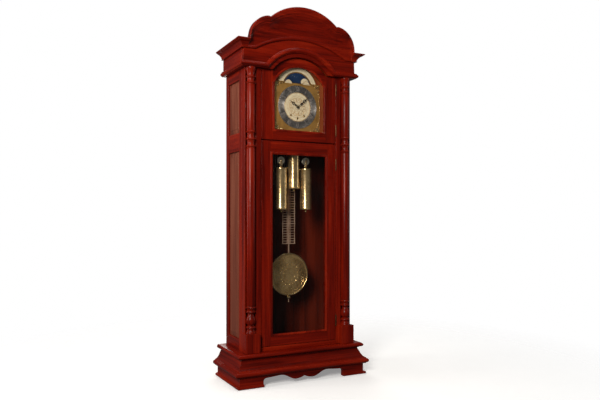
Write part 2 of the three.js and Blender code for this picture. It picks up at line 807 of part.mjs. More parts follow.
// The dial's outline: a square field under a lunette, grown by an even margin.
function dialOutline(margin) {
  const half = DIAL_HALF + margin;
  const shoulder = DIAL_Z + DIAL_HALF_HEIGHT + margin;
  const radius = DIAL_ARCH + margin;
  const spring = Math.asin((shoulder - MOON_Z) / radius);
  const shape = new THREE.Shape();
  shape.moveTo(-half, DIAL_Z - DIAL_HALF_HEIGHT - margin);
  shape.lineTo(half, DIAL_Z - DIAL_HALF_HEIGHT - margin);
  shape.lineTo(half, shoulder);
  shape.lineTo(radius * Math.cos(spring), shoulder);
  shape.absarc(0, MOON_Z, radius, spring, Math.PI - spring, false);
  shape.lineTo(-half, shoulder);
  return shape;
}

// The lunette's window: an arch whose sill rises into two rounded horizons.
function moonWindow() {
  const sill = DIAL_Z + CHAPTER_OUTER + 12;
  const rise = Math.asin((sill - MOON_Z) / MOON_WINDOW);
  const edge = MOON_WINDOW * Math.cos(rise);
  const window = new THREE.Shape();
  window.moveTo(edge, sill);
  window.absarc(0, MOON_Z, MOON_WINDOW, rise, Math.PI - rise, false);
  window.lineTo(-edge, sill);
  for (const side of [-1, 1]) {
    const inner = MOON_HUMP * 0.66;
    window.lineTo(side * MOON_HUMP_X - inner, sill);
    window.quadraticCurveTo(side * MOON_HUMP_X, sill + MOON_HUMP, side * MOON_HUMP_X + inner, sill);
  }
  return window;
}

function dialPlate() {
  const shape = dialOutline(0);
  addHole(shape, moonWindow(), 12);
  addHole(shape, disc(0, DIAL_Z, 7));
  for (const [, step] of threeWays) {
    const drop = WINDING_HOLE_DROP + (step === 0 ? WINDING_HOLE_STAGGER : 0);
    addHole(shape, disc(step * WINDING_HOLE_X, DIAL_Z - drop, 4));
  }
  return faceOn(shape, DIAL_FRONT, DIAL_PLATE, 18);
}

function chapterRing() {
  const ring = addHole(disc(0, DIAL_Z, CHAPTER_OUTER), disc(0, DIAL_Z, CHAPTER_INNER), 16);
  return faceOn(ring, DIAL_FRONT - GAP - CHAPTER_RING, CHAPTER_RING, 18);
}

// A hand drawn pointing up from its boss, with a pierced swell part-way along.
function hand(length, boss, swell) {
  const shape = new THREE.Shape();
  const bossAngle = Math.PI / 2 - 0.35;
  shape.absarc(0, 0, boss, bossAngle, Math.PI - bossAngle, true);
  shape.lineTo(-2, length * 0.42);
  shape.quadraticCurveTo(-swell, length * 0.55, -2, length * 0.72);
  shape.lineTo(0, length);
  shape.lineTo(2, length * 0.72);
  shape.quadraticCurveTo(swell, length * 0.55, 2, length * 0.42);
  shape.closePath();
  addHole(shape, disc(0, length * 0.55, swell * 0.3));
  return shape;
}

// A tube or a rod on the hands' axis, from one depth to another behind the dial's face.
function handShaft(inner, outer, from, to) {
  const profile = [[inner, from], [outer, from], [outer, to], [inner, to]];
  if (inner > 0) profile.push(profile[0]);
  return turnedFacing(profile.map(([r, y]) => [r, DIAL_FRONT + y]), 12);
}

// The hour hand's pipe is a tube, and the minute hand's arbor runs inside it.
function buildHands() {
  const hands = new THREE.Group();
  hands.position.set(0, 0, DIAL_Z);
  const bore = 3.6;
  const hourBlade = faceOn(hand(66, 10, 13), DIAL_FRONT - HOUR_AHEAD, HAND_BLADE, 6);
  const hourPipe = handShaft(bore, 6, 0.8 - HOUR_AHEAD, 22);
  const hourBore = handShaft(0, bore, -HOUR_AHEAD - 2, 30);
  const hour = piece('hour_hand', cut(join(hourBlade, hourPipe), hourBore), 'dark_metal');
  hour.rotation.y = THREE.MathUtils.degToRad(HOUR_ANGLE);
  hands.add(hour);

  const minuteBlade = faceOn(hand(104, 8, 11), DIAL_FRONT - MINUTE_AHEAD, HAND_BLADE, 6);
  const arbor = handShaft(0, 3, -MINUTE_AHEAD - 1, 26);
  const minute = piece('minute_hand', join(minuteBlade, arbor), 'dark_metal');
  minute.rotation.y = THREE.MathUtils.degToRad(MINUTE_ANGLE);
  hands.add(minute);
  return hands;
}

function buildDial() {
  const group = new THREE.Group();
  group.add(piece('dial_plate', dialPlate(), 'brass'));
  group.add(piece('chapter_ring', chapterRing(), 'chapter'));

  const behindPlate = DIAL_FRONT + DIAL_PLATE + GAP;
  const surround = rectangle(-SURROUND.half, SURROUND.half, SURROUND.bottom, SURROUND.top);
  addHole(surround, dialOutline(-10));
  const board = faceOn(surround, behindPlate, SURROUND.thickness, 16);
  group.add(piece('dial_surround', board, 'mahogany'));

  const moon = addHole(disc(0, 0, MOON_DISC), disc(0, 0, 3));
  const moonDisc = piece('moon_disc', faceOn(moon, 0, 1.2, 24), 'moon');
  moonDisc.position.set(0, behindPlate, MOON_Z);
  group.add(moonDisc);
  group.add(buildHands());
  return group;
}

// ---- Movement -----------------------------------------------------------------------

function movementPlate() {
  const shape = rectangle(-PLATE_HALF, PLATE_HALF, PLATE_BOTTOM, PLATE_TOP);
  for (const [, step] of threeWays) {
    addHole(shape, disc(step * WEIGHT_PITCH, DRUM_Z, 5));
  }
  addHole(shape, disc(0, ESCAPE_Z, 3));
  addHole(shape, disc(0, DIAL_Z, 8));
  return shape;
}

// The back plate carries the four pillars that space the two plates.
function backPlate() {
  const inset = 9;
  const length = BACK_PLATE_Y - FRONT_PLATE_Y - PLATE - GAP;
  const pillars = [];
  for (const x of [-PLATE_HALF + inset, PLATE_HALF - inset]) {
    for (const z of [PLATE_BOTTOM + inset, PLATE_TOP - inset]) {
      const pillar = turnedFacing([[0, -length], [5, -length], [5, 1], [0, 1]], 8);
      pillars.push(pillar.translate(x, BACK_PLATE_Y, z));
    }
  }
  return join(faceOn(movementPlate(), BACK_PLATE_Y, PLATE, 5), ...pillars);
}

// A winding drum with its great wheel and arbor; the arbor turns in both plates.
function windingDrum() {
  const front = FRONT_PLATE_Y - 4;
  const y = (offset) => WEIGHT_Y + offset;
  return turnedFacing([
    [0, front],
    [4, front],
    [4, y(-12)],
    [SHEAVE_RADIUS + 4, y(-12)],
    [SHEAVE_RADIUS + 4, y(-10)],
    [SHEAVE_RADIUS - CABLE, y(-10)],
    [SHEAVE_RADIUS - CABLE, y(8)],
    [30, y(8)],
    [30, y(11)],
    [4, y(11)],
    [4, BACK_PLATE_Y + PLATE + 3],
    [0, BACK_PLATE_Y + PLATE + 3],
  ], 16);
}

// The escape wheel: thirty raked teeth on an arbor between the plates.
function escapeWheel() {
  const teeth = 30;
  const points = [];
  for (let i = 0; i < teeth; i += 1) {
    const at = (turn, radius) => {
      const angle = (2 * Math.PI * (i + turn)) / teeth;
      return [radius * Math.cos(angle), radius * Math.sin(angle)];
    };
    points.push(at(0, ESCAPE_RADIUS), at(0.3, ESCAPE_RADIUS - 3.5));
  }
  const wheel = faceOn(outline(points), -1, 2);
  const reach = PENDULUM_Y - 14;
  const front = FRONT_PLATE_Y - 2 - reach;
  const arbor = turnedFacing([[0, front], [2, front], [2, 4], [0, 4]], 8);
  return join(wheel, arbor).translate(0, reach, ESCAPE_Z);
}

// The anchor rocks with the pendulum: two pallet arms clear of the teeth, and a crutch.
function anchor() {
  const reach = ESCAPE_RADIUS + 3;
  const y = PENDULUM_Y - 15;
  const drop = ESCAPE_Z - PIVOT_Z;
  const arms = outline([
    [-3, 3],
    [3, 3],
    [reach + 3, drop + 9],
    [reach + 3, drop - 2],
    [reach, drop - 2],
    [reach, drop + 5],
    [3, -3],
    [-3, -3],
    [-reach, drop + 5],
    [-reach, drop - 2],
    [-reach - 3, drop - 2],
    [-reach - 3, drop + 9],
  ]);
  const body = faceOn(arms, y, 3);
  const front = BACK_PLATE_Y + PLATE + 1;
  const pin = turnedFacing([[0, front], [2.4, front], [2.4, y + 8], [0, y + 8]], 8);
  const crutch = block([-2, 2], [y + 5, y + 7.5], [-92, 2]);
  return join(body, pin, crutch).translate(0, 0, PIVOT_Z);
}

// Chime rods on their block, fixed low on the back of the movement's seat.
function chimeRods() {
  const y = BACK_Y - BACK_PANEL - 40;
  const holder = block(
    [-60, 60],
    [y - 14, BACK_Y - BACK_PANEL - GAP],
    [CHIME_TOP, CHIME_TOP + 30],
  );
  const rods = [];
  for (let i = 0; i < CHIME_COUNT; i += 1) {
    const length = 300 + 26 * i;
    const rod = turnedUpright([[0, -length], [1.6, -length], [1.6, 4], [0, 4]], 6);
    rods.push(rod.translate(13 * (i - (CHIME_COUNT - 1) / 2), y, CHIME_TOP));
  }
  return join(holder, ...rods);
}

// The seat board rests between the side frames, slotted for the cables.
function seatBoard() {
  const half = CASE_HALF - BOARD - GAP;
  const board = block([-half, half], [FRAME_FRONT + 2, 22], [SEAT_BOTTOM, SEAT_BOTTOM + BOARD]);
  const through = [SEAT_BOTTOM - 1, SEAT_BOTTOM + BOARD + 1];
  const slots = threeWays.map(([, step]) => {
    const x = step * WEIGHT_PITCH - SHEAVE_RADIUS;
    return block([x - 6, x + 6], [WEIGHT_Y - 8, WEIGHT_Y + 8], through);
  });
  return cut(board, ...slots);
}

function buildMovement() {
  const group = new THREE.Group();
  group.add(piece('seat_board', seatBoard(), 'inner_wood'));
  const frontPlate = faceOn(movementPlate(), FRONT_PLATE_Y, PLATE, 5);
  group.add(piece('movement_front_plate', frontPlate, 'brass'));
  group.add(piece('movement_back_plate', backPlate(), 'brass'));
  for (const [name, step] of threeWays) {
    const drum = piece(`winding_drum_${name}`, windingDrum(), 'brass');
    drum.position.set(step * WEIGHT_PITCH, 0, DRUM_Z);
    group.add(drum);
  }
  group.add(piece('escape_wheel', escapeWheel(), 'brass'));
  group.add(piece('anchor', anchor(), 'steel'));
  group.add(piece('chime_rods', chimeRods(), 'steel'));
  return group;
}

// ---- Pendulum -----------------------------------------------------------------------

// The hanger, the gridiron of five rods and its cross-bars, and the threaded tail.
function pendulumRod() {
  const depth = [-3, 3];
  const tailTop = BOB_Z - BOB_RADIUS + 12;
  const centre = block([-4, 4], depth, [tailTop, PIVOT_Z - 14]);
  const tail = turnedUpright([[0, -52], [3, -52], [3, 1], [0, 1]], 12).translate(0, 0, tailTop);
  const rods = [-1, -0.5, 0.5, 1].map((step) => {
    const x = step * (GRID_HALF - 5);
    return block([x - 3.5, x + 3.5], [-2.5, 2.5], [GRID_BOTTOM, GRID_TOP]);
  });
  const bars = [];
  const count = 6;
  for (let i = 0; i <= count; i += 1) {
    const z = GRID_BOTTOM + ((GRID_TOP - GRID_BOTTOM - 10) * i) / count;
    bars.push(block([-GRID_HALF, GRID_HALF], [-4.5, 4.5], [z, z + 10]));
  }
  const hook = block([-9, 9], depth, [PIVOT_Z - 22, PIVOT_Z - 10]);
  return join(centre, tail, ...rods, ...bars, hook);
}

// The bob: a shallow brass lens with a raised rim, slotted for the rod.
function pendulumBob() {
  const d = BOB_HALF_DEPTH;
  const r = BOB_RADIUS;
  const lens = turnedFacing([
    [0, -d - 5],
    [r * 0.35, -d - 4.4],
    [r * 0.62, -d - 2.6],
    [r * 0.86, -d + 1],
    [r - 9, -d + 2.5],
    [r - 7, -d - 1],
    [r - 2, -d + 1],
    [r, -2],
    [r, 2],
    [r - 4, 6],
    [r * 0.6, d],
    [0, d],
  ], 36);
  const slot = block([-4 - GAP, 4 + GAP], [-3 - GAP, 3 + GAP], [-r - 10, r + 10]);
  return cut(lens, slot).translate(0, PENDULUM_Y, BOB_Z);
}

function ratingNut() {
  const top = -BOB_RADIUS - 1;
  const body = turnedUpright([
    [0, top - 16],
    [11, top - 16],
    [13, top - 13],
    [13, top - 3],
    [9, top],
    [0, top],
  ], 16);
  const r = 3 + GAP;
  const bore = turnedUpright([[0, top - 30], [r, top - 30], [r, top + 10], [0, top + 10]], 12);
  return cut(body, bore).translate(0, PENDULUM_Y, BOB_Z);
}

function buildPendulum() {
  const group = new THREE.Group();
  const rod = piece('pendulum_rod', pendulumRod(), 'brass');
  rod.position.y = PENDULUM_Y;
  group.add(rod);
  group.add(piece('pendulum_bob', pendulumBob(), 'brass'));
  group.add(piece('rating_nut', ratingNut(), 'brass'));
  return group;
}

// ---- Weights ------------------------------------------------------------------------

const PULLEY_RISE = WEIGHT_LENGTH + 46; // from a weight's bottom cap to its pulley's axle

// A weight: a brass shell between two caps, a nut below, a stirrup above.
function weight() {
  const r = WEIGHT_RADIUS;
  const top = WEIGHT_LENGTH;
  const shell = turnedUpright([
    [0, -16],
    [5, -14],
    [6, -6],
    [4, 0],
    [r, 0],
    [r + 1.5, 2],
    [r + 1.5, 8],
    [r, 10],
    [r, top - 10],
    [r + 1.5, top - 8],
    [r + 1.5, top - 2],
    [r, top],
    [8, top + 2],
    [5, top + 14],
    [0, top + 14],
  ], 20);
  const arm = 6;
  const cheeks = [-1, 1].map((side) => block(
    [-5, 5],
    side < 0 ? [-arm - 2, -arm] : [arm, arm + 2],
    [top + 10, PULLEY_RISE + 5],
  ));
  const yoke = block([-5, 5], [-arm - 2, arm + 2], [top + 8, top + 14]);
  const axle = turnedFacing([[0, -arm - 3], [2.5, -arm - 3], [2.5, arm + 3], [0, arm + 3]], 8)
    .translate(0, 0, PULLEY_RISE);
  return join(shell, yoke, ...cheeks, axle);
}

// A pulley wheel with a round groove, bored for its axle.
function pulleyWheel() {
  const r = SHEAVE_RADIUS;
  return turnedFacing([
    [3, -4],
    [r + 3, -4],
    [r + 3, -2.6],
    [r - CABLE / 2 - GAP, -1],
    [r - CABLE / 2 - GAP, 1],
    [r + 3, 2.6],
    [r + 3, 4],
    [3, 4],
    [3, -4],
  ], 20).translate(0, 0, PULLEY_RISE);
}

// The cable: down from the drum, round the pulley, and up to the seat board.
function weightCable(pulleyZ) {
  const path = new THREE.CurvePath();
  const r = SHEAVE_RADIUS;
  const p = (x, z) => new THREE.Vector3(x, 0, z);
  path.add(new THREE.LineCurve3(p(-r, DRUM_Z), p(-r, pulleyZ)));
  const steps = 10;
  for (let i = 0; i < steps; i += 1) {
    const at = (k) => {
      const angle = Math.PI * (1 + k / steps);
      return p(r * Math.cos(angle), pulleyZ + r * Math.sin(angle));
    };
    path.add(new THREE.LineCurve3(at(i), at(i + 1)));
  }
  path.add(new THREE.LineCurve3(p(r, pulleyZ), p(r, SEAT_BOTTOM - GAP)));
  return cableTube(path.curves.flatMap((curve, i) => (i === 0 ? [curve.v1, curve.v2] : [curve.v2])));
}

// A closed tube of square-on rings through a route that lies in the plane of X and Z.
function cableTube(route) {
  const sides = 6;
  const stations = route.map((point, i) => {
    const before = route[Math.max(i - 1, 0)];
    const after = route[Math.min(i + 1, route.length - 1)];
    const along = after.clone().sub(before).normalize();
    return { at: point.toArray(), out: [along.z, 0, -along.x], up: [0, 1, 0] };
  });
  const section = Array.from({ length: sides }, (_, k) => {
    const angle = (2 * Math.PI * k) / sides;
    return [(CABLE / 2) * Math.cos(angle), (CABLE / 2) * Math.sin(angle)];
  });
  return moulding(stations, section);
}

function buildWeights() {
  const group = new THREE.Group();
  for (const [name, step] of threeWays) {
    const bottom = WEIGHT_BOTTOMS[name];
    const hanging = new THREE.Group();
    hanging.position.set(step * WEIGHT_PITCH, WEIGHT_Y, bottom);
    hanging.add(piece(`weight_${name}`, weight(), 'brass'));
    hanging.add(piece(`pulley_${name}`, pulleyWheel(), 'brass'));
    group.add(hanging);
    const cable = piece(`cable_${name}`, weightCable(bottom + PULLEY_RISE), 'steel');
    cable.position.set(step * WEIGHT_PITCH, WEIGHT_Y, 0);
    group.add(cable);
  }
  return group;
}

// ---- The clock ----------------------------------------------------------------------

const group = new THREE.Group();
group.add(buildBase(), buildCase(), buildHood(), buildDoors());
group.add(buildDial(), buildMovement(), buildPendulum(), buildWeights());

export default group;
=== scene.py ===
import functools
import json
import math
import random
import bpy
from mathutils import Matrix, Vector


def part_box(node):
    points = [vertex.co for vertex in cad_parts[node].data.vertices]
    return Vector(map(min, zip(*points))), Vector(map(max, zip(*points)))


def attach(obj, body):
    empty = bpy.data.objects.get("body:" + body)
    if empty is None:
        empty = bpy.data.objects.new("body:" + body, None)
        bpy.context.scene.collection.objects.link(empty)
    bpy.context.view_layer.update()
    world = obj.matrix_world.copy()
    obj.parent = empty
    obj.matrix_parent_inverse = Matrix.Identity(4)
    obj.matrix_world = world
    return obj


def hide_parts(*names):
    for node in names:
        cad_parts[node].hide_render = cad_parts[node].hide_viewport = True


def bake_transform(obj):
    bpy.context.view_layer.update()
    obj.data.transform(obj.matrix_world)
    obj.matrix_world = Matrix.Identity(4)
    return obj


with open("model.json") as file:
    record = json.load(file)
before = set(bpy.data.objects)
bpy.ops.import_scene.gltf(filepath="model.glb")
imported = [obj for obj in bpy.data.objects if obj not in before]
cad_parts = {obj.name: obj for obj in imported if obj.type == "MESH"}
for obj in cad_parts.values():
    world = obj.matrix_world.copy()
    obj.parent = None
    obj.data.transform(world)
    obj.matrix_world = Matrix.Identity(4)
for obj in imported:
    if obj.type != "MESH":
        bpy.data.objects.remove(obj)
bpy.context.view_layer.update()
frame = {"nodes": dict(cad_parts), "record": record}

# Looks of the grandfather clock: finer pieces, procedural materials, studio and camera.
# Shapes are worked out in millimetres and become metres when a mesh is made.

from types import SimpleNamespace

import bmesh
import bpy
from mathutils import Vector

X, Y, Z = 0, 1, 2
SIDES = (("left", -1), ("right", 1))
THREE_WAYS = (("left", -1), ("middle", 0), ("right", 1))
BLENDED = "blended"  # instead of a body: the piece is attached to no body
SAME_POINT = 1e-6  # metres: points closer than this are merged
SHARP_FROM = 32  # degrees: a bevel rounds the edges that are sharper than this
BODY_OF = {n: body for body, nodes in frame["record"]["behaviour"]["bodies"].items() for n in nodes}


# ---- Driving dimensions, in millimetres ---------------------------------------------

GAP = 0.3  # clearance between pieces that touch
BOARD = 18  # thickness of the carcass boards
ABOVE_ALL = 2500  # higher than anything on the clock
POLE = 0.01  # radius at which a turned profile closes on its axis

FOOT_WIDTH = 146
FOOT_BEAD = 14  # how far the bead at the foot stands out
FOOT_BEAD_HEIGHT = 15
BOTTOM_LAP = 48  # how far the bottom board runs out past the case
COLUMN_RADIUS = 26

ARCH_Z = 1678  # every arch in the hood is struck from this height
OPENING_ARCH = 195
MOULDING_ARCH = 262
LEDGE_START = 26  # from the spring of the arched moulding to the ledge behind it
CREST_NOTCH = 218  # where the centre arch meets the side lobes
LOBE_OUTER = 342  # where the side lobes meet the level cornice
CREST_RISE = 84  # of the centre arch above its ends, and of the frieze's arch
FRIEZE_ARCH_HALF = 300
GLASS_TUCK = 5.7  # how far the glass reaches under the door's rails

DIAL_HALF_HEIGHT = 146
DIAL_ARCH = 134
ARCH_BAND = (100, 128)  # inner and outer radius of the day scale over the moon
MOON_SILL = 142  # from the dial's centre up to the foot of the moon's window
MOON_WINDOW = 94
MOON_HUMP = 26.4  # half the width of the two rounded horizons
MOON_HUMP_X = 60
MOON_ORBIT = 64  # how far the two moons stand from the disc's centre
MOON_ANGLE = 38  # of the first moon, in degrees from level
MOON_PLACE = (50.4, 39.4)  # the same place in X and Z
STARS = 70
STARLESS = 30  # no star stands closer than this to the middle of a moon
WINDING_HOLE = (44, 52, 16)  # out from the middle, down, and how much lower the middle one is
NUMERAL_TOP = 120.5
NUMERAL_HEIGHT = 25
MINUTE_TRACK = 126
CENTRE_FIELD = 86.5  # radius of the cream field inside the chapter ring
HANDS = {  # length, boss radius, half width, distance behind the front, clockwise degrees
    "hour_hand": (66, 10, 13, 0, 304),
    "minute_hand": (104, 8, 10, 1, 48),
}

SHEAVE_RADIUS = 20  # where the cable runs on the drum and on the pulley
WEIGHT_RADIUS = 35
WEIGHT_LENGTH = 252
CHIME_COUNT = 9
CHIME_PITCH = 13
CHIME_SHORTEST = 300
CHIME_STEP = 26  # how much longer each rod is than the one before it
GRIDIRON = (188, 564)  # its foot and its head, up from the bob's centre
GRIDIRON_RUNGS = 24
ROD_TAIL = 120  # from the bob's centre down to where the thread starts
THREAD_TURNS = 34
THREAD_PITCH = 1.5
BOB_SCROLLS = 12


# ---- Places, in millimetres, read from the frame ------------------------------------

def box_mm(node):
    low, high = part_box(node)
    return low * 1000, high * 1000


def centre_mm(node):
    low, high = box_mm(node)
    return (low + high) / 2


# ---- Materials ----------------------------------------------------------------------

class Graph:
    """The node tree of one material, with short ways to add nodes."""

    def __init__(self, name):
        self.material = bpy.data.materials.new(name)
        self.material.use_nodes = True
        self.tree = self.material.node_tree
        self.shader = self.tree.nodes["Principled BSDF"]

    def add(self, kind, links=None, values=None, **settings):
        node = self.tree.nodes.new("ShaderNode" + kind)
        for key, value in settings.items():
            setattr(node, key, value)
        for key, value in (values or {}).items():
            node.inputs[key].default_value = value
        for key, source in (links or {}).items():
            self.tree.links.new(source, node.inputs[key])
        return node

    def place(self):
        """Object coordinates, moved by a different amount on every piece."""
        coords = self.add("TexCoord").outputs["Object"]
        chance = self.add("ObjectInfo").outputs["Random"]
        moved = self.add(
            "VectorMath", {0: chance}, {1: (3.1, 2.3, 1.7)}, operation="MULTIPLY"
        )
        return self.add(
            "VectorMath", {0: coords, 1: moved.outputs[0]}, operation="ADD"
        ).outputs[0]

    def stretched(self, place, scale):
        return self.add("Mapping", {"Vector": place}, {"Scale": scale}).outputs[0]

    def noise(self, place, scale=1.0, detail=4.0, roughness=0.5, distortion=0.0):
        values = {
            "Scale": scale, "Detail": detail, "Roughness": roughness, "Distortion": distortion
        }
        return self.add("TexNoise", {"Vector": place}, values).outputs[0]

    def ramp(self, factor, stops):
        node = self.add("ValToRGB", {"Fac": factor})
        elements = node.color_ramp.elements
        while len(elements) < len(stops):
            elements.new(0.5)
        for element, (at, tone) in zip(elements, stops):
            element.position = at
            element.color = (*tone, 1)
        return node.outputs["Color"]

    def rescale(self, value, low, high, to_low, to_high):
        limits = {"From Min": low, "From Max": high, "To Min": to_low, "To Max": to_high}
        return self.add("MapRange", {"Value": value}, limits).outputs[0]

    def math(self, operation, *values):
        links = {i: v for i, v in enumerate(values) if not isinstance(v, (int, float))}
        fixed = {i: v for i, v in enumerate(values) if isinstance(v, (int, float))}
        return self.add("Math", links, fixed, operation=operation).outputs[0]

    def total(self, *terms):
        """The sum of some values, each given with its weight."""
        parts = [self.math("MULTIPLY", value, weight) for value, weight in terms]
        return functools.reduce(lambda a, b: self.math("ADD", a, b), parts)

    def mix(self, factor, a, b):
        links, values = {}, {}
        for key, value in ((0, factor), (6, a), (7, b)):
            if isinstance(value, (int, float)):
                values[key] = value
            elif isinstance(value, tuple):
                values[key] = (*value, 1)
            else:
                links[key] = value
        return self.add("Mix", links, values, data_type="RGBA").outputs[2]

    def edges(self, radius):
        """(a normal with softened edges, how close a point is to an edge from 0 to 1)"""
        soft = self.add("Bevel", values={"Radius": radius}).outputs[0]
        flat = self.add("NewGeometry").outputs["Normal"]
        same = self.add(
            "VectorMath", {0: soft, 1: flat}, operation="DOT_PRODUCT"
        ).outputs["Value"]
        return soft, self.rescale(same, 1.0, 0.75, 0.0, 1.0)

    def bump(self, height, strength, distance, normal):
        links = {"Height": height, "Normal": normal}
        values = {"Strength": strength, "Distance": distance}
        return self.add("Bump", links, values).outputs[0]

    def finish(self, links, values=None):
        for key, source in links.items():
            self.tree.links.new(source, self.shader.inputs[key])
        for key, value in (values or {}).items():
            self.shader.inputs[key].default_value = value
        return self.material


def beside(limit_half, limit_front):
    """Where a moulding runs along the sides, past its mitre with the front."""
    def mask(g, x, y, _):
        reach = g.math("ADD", g.math("ABSOLUTE", x), y)
        return g.math("GREATER_THAN", reach, (limit_half + limit_front) / 1000)
    return mask


def on_rails(across, centre, half, levels):
    """Where a frame's rails lie: between its stiles and within some levels, in millimetres."""
    def mask(g, *xyz):
        offset = g.math("ABSOLUTE", g.math("SUBTRACT", xyz[across], centre / 1000))
        within = g.math("LESS_THAN", offset, half / 1000)
        level = None
        for low, high in levels:
            middle, reach = (low + high) / 2000, (high - low) / 2000
            away = g.math("ABSOLUTE", g.math("SUBTRACT", xyz[Z], middle))
            near = g.math("LESS_THAN", away, reach)
            level = near if level is None else g.math("MAXIMUM", level, near)
        return g.math("MULTIPLY", within, level)
    return mask


def wood(
    name, grain, dark, mid, light, edge_wear_and_highlight_tone, gloss=(0.22, 0.38), coat=0.1, specular=0.12,
    turned=None, other=None,
):
    """Stained and lacquered wood, with its fibres along the grain axis, and its edges lightened as
    rubbed wear and a painted highlight.

    Where the turned mask is 1, the fibres run along the other axis.
    """
    g = Graph(name)
    place = g.place()
    if turned:
        coords = g.add("TexCoord").outputs["Object"]
        mask = turned(g, *g.add("SeparateXYZ", {0: coords}).outputs)
        parts = list(g.add("SeparateXYZ", {0: place}).outputs)
        parts[grain], parts[other] = parts[other], parts[grain]
        swapped = g.add("CombineXYZ", dict(enumerate(parts))).outputs[0]
        place = g.add(
            "Mix", {0: mask, 4: place, 5: swapped}, data_type="VECTOR"
        ).outputs[1]

    def along(across, length):
        scale = [across] * 3
        scale[grain] = length
        return g.stretched(place, scale)

    figure = g.noise(along(24, 1.5), detail=6, roughness=0.6, distortion=0.9)
    streaks = g.noise(along(190, 4), detail=3)
    pores = g.noise(along(800, 40), detail=2)
    bands = g.noise(along(11, 0.7), detail=2)
    mixed = g.total((figure, 0.36), (streaks, 0.2), (bands, 0.44))
    tone = g.ramp(mixed, [(0.38, dark), (0.5, mid), (0.61, light)])
    pored = g.mix(g.rescale(pores, 0.56, 0.7, 0.0, 0.55), tone, dark)
    soft, edge = g.edges(0.003)
    # Edges are lightened towards the edge tone: partly rubbed wear, partly a painted highlight
    # along the edges.
    edge_wear_and_highlight_mask = g.math("MULTIPLY", edge, g.rescale(figure, 0.35, 0.65, 0.15, 0.75))
    colour = g.mix(edge_wear_and_highlight_mask, pored, edge_wear_and_highlight_tone)
    rough = g.rescale(g.noise(place, 14, 4), 0.3, 0.7, *gloss)
    normal = g.bump(g.total((figure, 0.6), (pores, 0.4)), 0.16, 0.0006, soft)
    return g.finish(
        {"Base Color": colour, "Roughness": rough, "Normal": normal, "Coat Normal": soft},
        {"Coat Weight": coat, "Coat Roughness": 0.12, "Coat IOR": 1.4,
         "Specular IOR Level": specular},
    )


def metal(name, tone, tarnish, rough, lines=(60, 60, 60), relief=0.0, grain_scale=300, shine=1.0):
    """Metal with tarnish clouds, fine lines stretched by their scale, and edges lightened as partly
    rubbed metal and partly a painted highlight.
    """
    g = Graph(name)
    place = g.place()
    clouds = g.noise(place, 22, 5, 0.6)
    scratches = g.noise(g.stretched(place, lines), detail=3)
    colour = g.ramp(clouds, [(0.32, tarnish), (0.56, tone)])
    soft, edge = g.edges(0.0012)
    # Lighter edges: partly rubbed bright metal, partly a painted highlight.
    rubbed_and_highlit_edge_tone = tuple(min(1.0, c * 1.25) for c in tone)
    colour = g.mix(g.math("MULTIPLY", edge, 0.6), colour, rubbed_and_highlit_edge_tone)
    spread = g.total((clouds, 0.5), (scratches, 0.5))
    roughness = g.rescale(spread, 0.3, 0.7, *rough)
    height = scratches
    if relief:
        height = g.mix(0.5, scratches, g.noise(place, grain_scale, 2))
    normal = g.bump(height, 0.08 + relief, 0.0004, soft)
    return g.finish(
        {"Base Color": colour, "Roughness": roughness, "Normal": normal}, {"Metallic": shine}
    )


def paint(name, tone, shade, rough=(0.35, 0.5), speckle=60):
    """Painted metal with a slightly uneven coat and a painted highlight along its edges."""
    g = Graph(name)
    place = g.place()
    patches = g.noise(place, speckle, 5, 0.6)
    colour = g.ramp(patches, [(0.3, shade), (0.65, tone)])
    soft, edge = g.edges(0.0008)
    # A painted highlight along the edges.
    painted_edge_highlight = tuple(min(1.0, c * 1.6 + 0.02) for c in tone)
    colour = g.mix(g.math("MULTIPLY", edge, 0.4), colour, painted_edge_highlight)
    roughness = g.rescale(patches, 0.3, 0.7, *rough)
    normal = g.bump(g.noise(place, 900, 2), 0.08, 0.0002, soft)
    return g.finish({"Base Color": colour, "Roughness": roughness, "Normal": normal})


def spun_silver():
    """Silvered metal turned on a lathe, so that its fine grooves are circles, with a painted
    highlight along its edges.
    """
    g = Graph("spun_silver")
    place = g.place()
    clouds = g.noise(place, 30, 4)
    colour = g.ramp(clouds, [(0.3, (0.42, 0.37, 0.33)), (0.65, (0.76, 0.7, 0.64))])
    roughness = g.rescale(clouds, 0.3, 0.7, 0.24, 0.31)
    soft, edge = g.edges(0.0006)
    # A painted highlight along the edges.
    colour = g.mix(g.math("MULTIPLY", edge, 0.5), colour, (0.95, 0.91, 0.86))
    normal = g.bump(g.noise(place, 700, 2), 0.04, 0.0002, soft)
    around = g.add("Tangent", direction_type="RADIAL", axis="Y").outputs[0]
    return g.finish(
        {"Base Color": colour, "Roughness": roughness, "Normal": normal, "Tangent": around},
        {"Metallic": 1.0, "Anisotropic": 0.92, "Anisotropic Rotation": 0.25},
    )


def clear_glass():
    """Clear sheet glass with a faint film of dust."""
    g = Graph("clear_glass")
    film = g.noise(g.place(), 5, 5, 0.6)
    tint = g.ramp(film, [(0.3, (0.012, 0.014, 0.013)), (0.7, (0.03, 0.034, 0.032))])
    alpha = g.rescale(film, 0.35, 0.75, 0.04, 0.07)
    roughness = g.rescale(film, 0.3, 0.7, 0.03, 0.1)
    g.material.surface_render_method = "BLENDED"
    return g.finish({"Base Color": tint, "Alpha": alpha, "Roughness": roughness})


def floor_material(radius):
    """Pale studio paper that thins out to nothing at its rim."""
    g = Graph("studio_floor")
    coords = g.add("TexCoord").outputs["Object"]
    reach = g.add("VectorMath", {0: coords}, operation="LENGTH").outputs["Value"]
    paper = g.ramp(g.noise(coords, 3, 3), [(0.3, (0.93, 0.93, 0.93)), (0.7, (0.96, 0.96, 0.96))])
    g.material.surface_render_method = "BLENDED"
    return g.finish(
        {"Base Color": paper, "Alpha": g.rescale(reach, radius * 0.22, radius * 0.95, 1.0, 0.0)},
        {"Roughness": 0.9, "Specular IOR Level": 0.1, "Emission Color": (1, 1, 1, 1),
         "Emission Strength": 0.26},
    )


